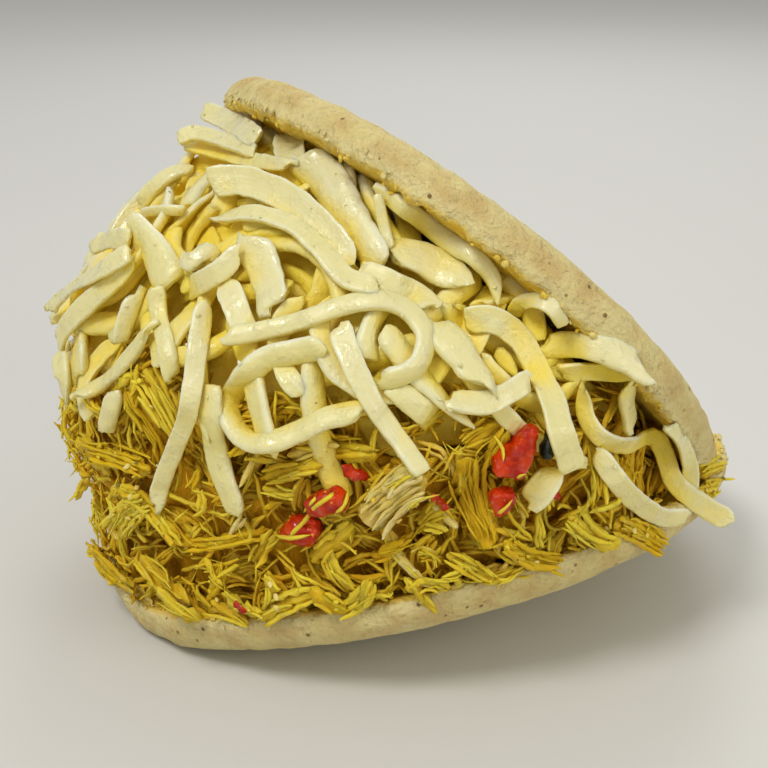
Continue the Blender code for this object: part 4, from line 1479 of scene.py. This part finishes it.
def crumb_tree():
    """Lays uneven grains on a surface, more of them where its points are marked as bed."""
    inputs = {"Surface": "Geometry", "Density": "Float", "Least": "Float", "Most": "Float"}
    inputs |= {"Flatness": "Float", "Seed": "Int", "Finish": "Material"}
    tree, start, size = new_tree("crumbs", inputs)
    bed = start.node("GeometryNodeInputNamedAttribute", {"data_type": "FLOAT"}, {"Name": "bed"})
    spread = {"Mesh": size["Surface"], "Density": bed * size["Density"], "Seed": size["Seed"]}
    spots = start.node("GeometryNodeDistributePointsOnFaces", None, spread)
    normal, turned = (Wire(tree, spots.socket.node.outputs[k]) for k in ("Normal", "Rotation"))

    def chance_of(kind, seed, ends, output):
        sockets = {**ends, "Seed": size["Seed"] + seed}
        return start.node("FunctionNodeRandomValue", {"data_type": kind}, sockets, output)

    chance = chance_of("FLOAT", 1, {}, 1)
    radius = size["Least"] + (size["Most"] - size["Least"]) * chance * chance * chance
    uneven = chance_of("FLOAT_VECTOR", 2, {0: (0.7, 0.7, 0.6), 1: (1.5, 1.1, 1.0)}, 0)
    flat = start.joined(1, 1, size["Flatness"])
    scale = start.vector_math("MULTIPLY", {0: uneven, 1: flat}).scaled(radius * 0.5)
    turn = chance_of("FLOAT_VECTOR", 3, {0: (0, 0, 0), 1: (0.6, 0.6, 2 * math.pi)}, 0)
    settings = {"rotation_space": "LOCAL"}
    turned = start.node("FunctionNodeRotateRotation", settings, {0: turned, 1: turn})
    grain = start.node("GeometryNodeMeshIcoSphere", None, {"Radius": 1, "Subdivisions": 2})
    raised = {"Geometry": spots, "Offset": normal.scaled(radius * 0.3)}
    spots = start.node("GeometryNodeSetPosition", None, raised)
    laid = {"Points": spots, "Instance": grain, "Rotation": turned, "Scale": scale}
    crumbs = start.node("GeometryNodeInstanceOnPoints", None, laid)
    kept = {"Geometry": crumbs, "Name": "tone", "Value": chance}
    settings = {"data_type": "FLOAT", "domain": "INSTANCE"}
    crumbs = start.node("GeometryNodeStoreNamedAttribute", settings, kept)
    crumbs = start.node("GeometryNodeRealizeInstances", None, {"Geometry": crumbs})
    lumpy = start.node("ShaderNodeTexNoise", None, {"Scale": 1 / CRUMB_LUMP, "Detail": 1}, 1)
    lumpy = start.vector_math("SUBTRACT", {0: lumpy, 1: (0.5, 0.5, 0.5)}).scaled(CRUMB_LUMP)
    crumbs = start.node("GeometryNodeSetPosition", None, {"Geometry": crumbs, "Offset": lumpy})
    close_tree(start, crumbs, size["Finish"])
    return tree


CRUMB_TREE = crumb_tree()


def add_crumbs(name, beds, grains, finish, slot, node):
    """Crumbs on those pieces, each given with how far its points are a bed for them."""
    work = bmesh.new()
    for mesh, _ in beds:
        work.from_mesh(mesh)
    surface = bpy.data.meshes.new("bed")
    work.to_mesh(surface)
    work.free()
    marks = np.concatenate([bed for _, bed in beds])
    mark(surface, "bed", marks)
    area = sum(face.area * marks[list(face.vertices)].mean() for face in surface.polygons)
    count, least, most, flatness, seed = grains
    sizes = {"Density": count / area, "Least": least, "Most": most, "Flatness": flatness}
    made = grown(surface, CRUMB_TREE, {**sizes, "Seed": seed, "Finish": finish})
    add_piece(name, made, finish, slot, node)


def values_of(mesh, name):
    """What mark() kept under that name."""
    return rows_of(mesh.attributes[name].data, "value", 1)[:, 0]


def herb_finish():
    """Dried herb, dark with lighter flecks."""
    material, start = new_finish("herb")
    colour = start.value("tone").ease(0.1, 0.9).tint(HERB, HERB_LIGHT)
    grain = start.cloud(0.6 * MM)
    set_finish(start, {"Base Color": colour, "Roughness": 0.5 + grain * 0.2}, [(grain, 0.1 * MM)])
    return material


def crumbs():
    """Crumbs of bread on the rims, and of meat, cheese and herb on the filling."""
    mesh = {name: piece.data for name, piece in bpy.data.objects.items() if piece.type == "MESH"}
    bread = mesh["corn_cake"]
    rim = values_of(bread, "crumb") ** 3 * (points_of(bread)[:, 2] > CRUMB_FLOOR)
    finish = bread.materials[0]
    add_crumbs("corn_crumbs", [(bread, rim)], CORN_CRUMBS, finish, "corn_cake", "arepa")

    def outside(name, most):
        """The piece, and how far each of its points lies open to what falls on it."""
        values = np.clip(1 - values_of(mesh[name], "deep") / most, 0, 1)
        return mesh[name], values * (1 - values_of(mesh[name], "under"))

    meat = [outside(name, 0.7) for name in ("chicken_shreds", "chicken_bits", "chicken_top")]
    cheese = [outside(name, 0.6) for name in ("cheese_pile", "cheese_strips")]
    slot = "shredded_chicken"
    finish = mesh["chicken_bits"].materials[0]
    add_crumbs("meat_crumbs", meat, MEAT_CRUMBS, finish, slot, slot)
    add_crumbs("herb_flecks", meat + cheese[:1], HERB_FLECKS, herb_finish(), slot, slot)
    slot = "grated_cheese"
    finish = mesh["cheese_pile"].materials[0]
    add_crumbs("cheese_crumbs", cheese, CHEESE_CRUMBS, finish, slot, slot)


crumbs()

# ---------------------------------------------------------------------------
# The stand. A plain pale floor under soft lamps: a broad one above and to the left, a weaker
# one from the right and a wide glow all round.
FLOOR_SIZE = 6.0
FLOOR_CLOUD_SIZE = 0.4
FLOOR_GRAIN_SIZE = 2 * MM
FLOOR_PALE = (0.62, 0.62, 0.60, 1)
FLOOR_PALER = (0.66, 0.66, 0.64, 1)
GLOW = 0.52
GLOW_COLOUR = (1.0, 0.98, 0.93, 1)
# Each lamp: its name, place, width, power and colour.
LAMPS = [
    ("key", (-0.30, -0.40, 0.70), 0.28, 3.3, (1.0, 0.98, 0.94)),
    ("fill", (0.6, -0.5, 0.35), 0.5, 1.6, (1.0, 0.97, 0.92)),
    ("rear", (0.1, 0.7, 0.6), 0.5, 1.8, (1.0, 0.99, 0.96)),
]


def floor():
    mesh = bpy.data.meshes.new("floor")
    half = FLOOR_SIZE / 2
    corners = [(-half, -half, 0), (half, -half, 0), (half, half, 0), (-half, half, 0)]
    mesh.from_pydata(corners, [], [(0, 1, 2, 3)])
    material, start = new_finish("floor")
    shade = start.cloud(FLOOR_CLOUD_SIZE).tint(FLOOR_PALE, FLOOR_PALER)
    grain = start.cloud(FLOOR_GRAIN_SIZE)
    set_finish(start, {"Base Color": shade, "Roughness": 0.6}, [(grain, 0.02 * MM)])
    mesh.materials.append(material)
    ground = bpy.data.objects.new("floor", mesh)
    bpy.context.scene.collection.objects.link(ground)


def lamp(name, place, width, power, colour):
    """A soft round lamp that faces the food."""
    light = bpy.data.lights.new(name, "AREA")
    light.shape = "DISK"
    light.size = width
    light.energy = power
    light.color = colour
    holder = bpy.data.objects.new(name, light)
    holder.location = place
    aim = Vector(LOOK_AT) - Vector(place)
    holder.rotation_euler = aim.to_track_quat("-Z", "Y").to_euler()
    bpy.context.scene.collection.objects.link(holder)


floor()
for each in LAMPS:
    lamp(*each)
world = bpy.data.worlds.new("glow")
world.use_nodes = True
glow = world.node_tree.nodes["Background"].inputs
glow["Color"].default_value = GLOW_COLOUR
glow["Strength"].default_value = GLOW
bpy.context.scene.world = world
bpy.context.scene.view_settings.view_transform = "Standard"
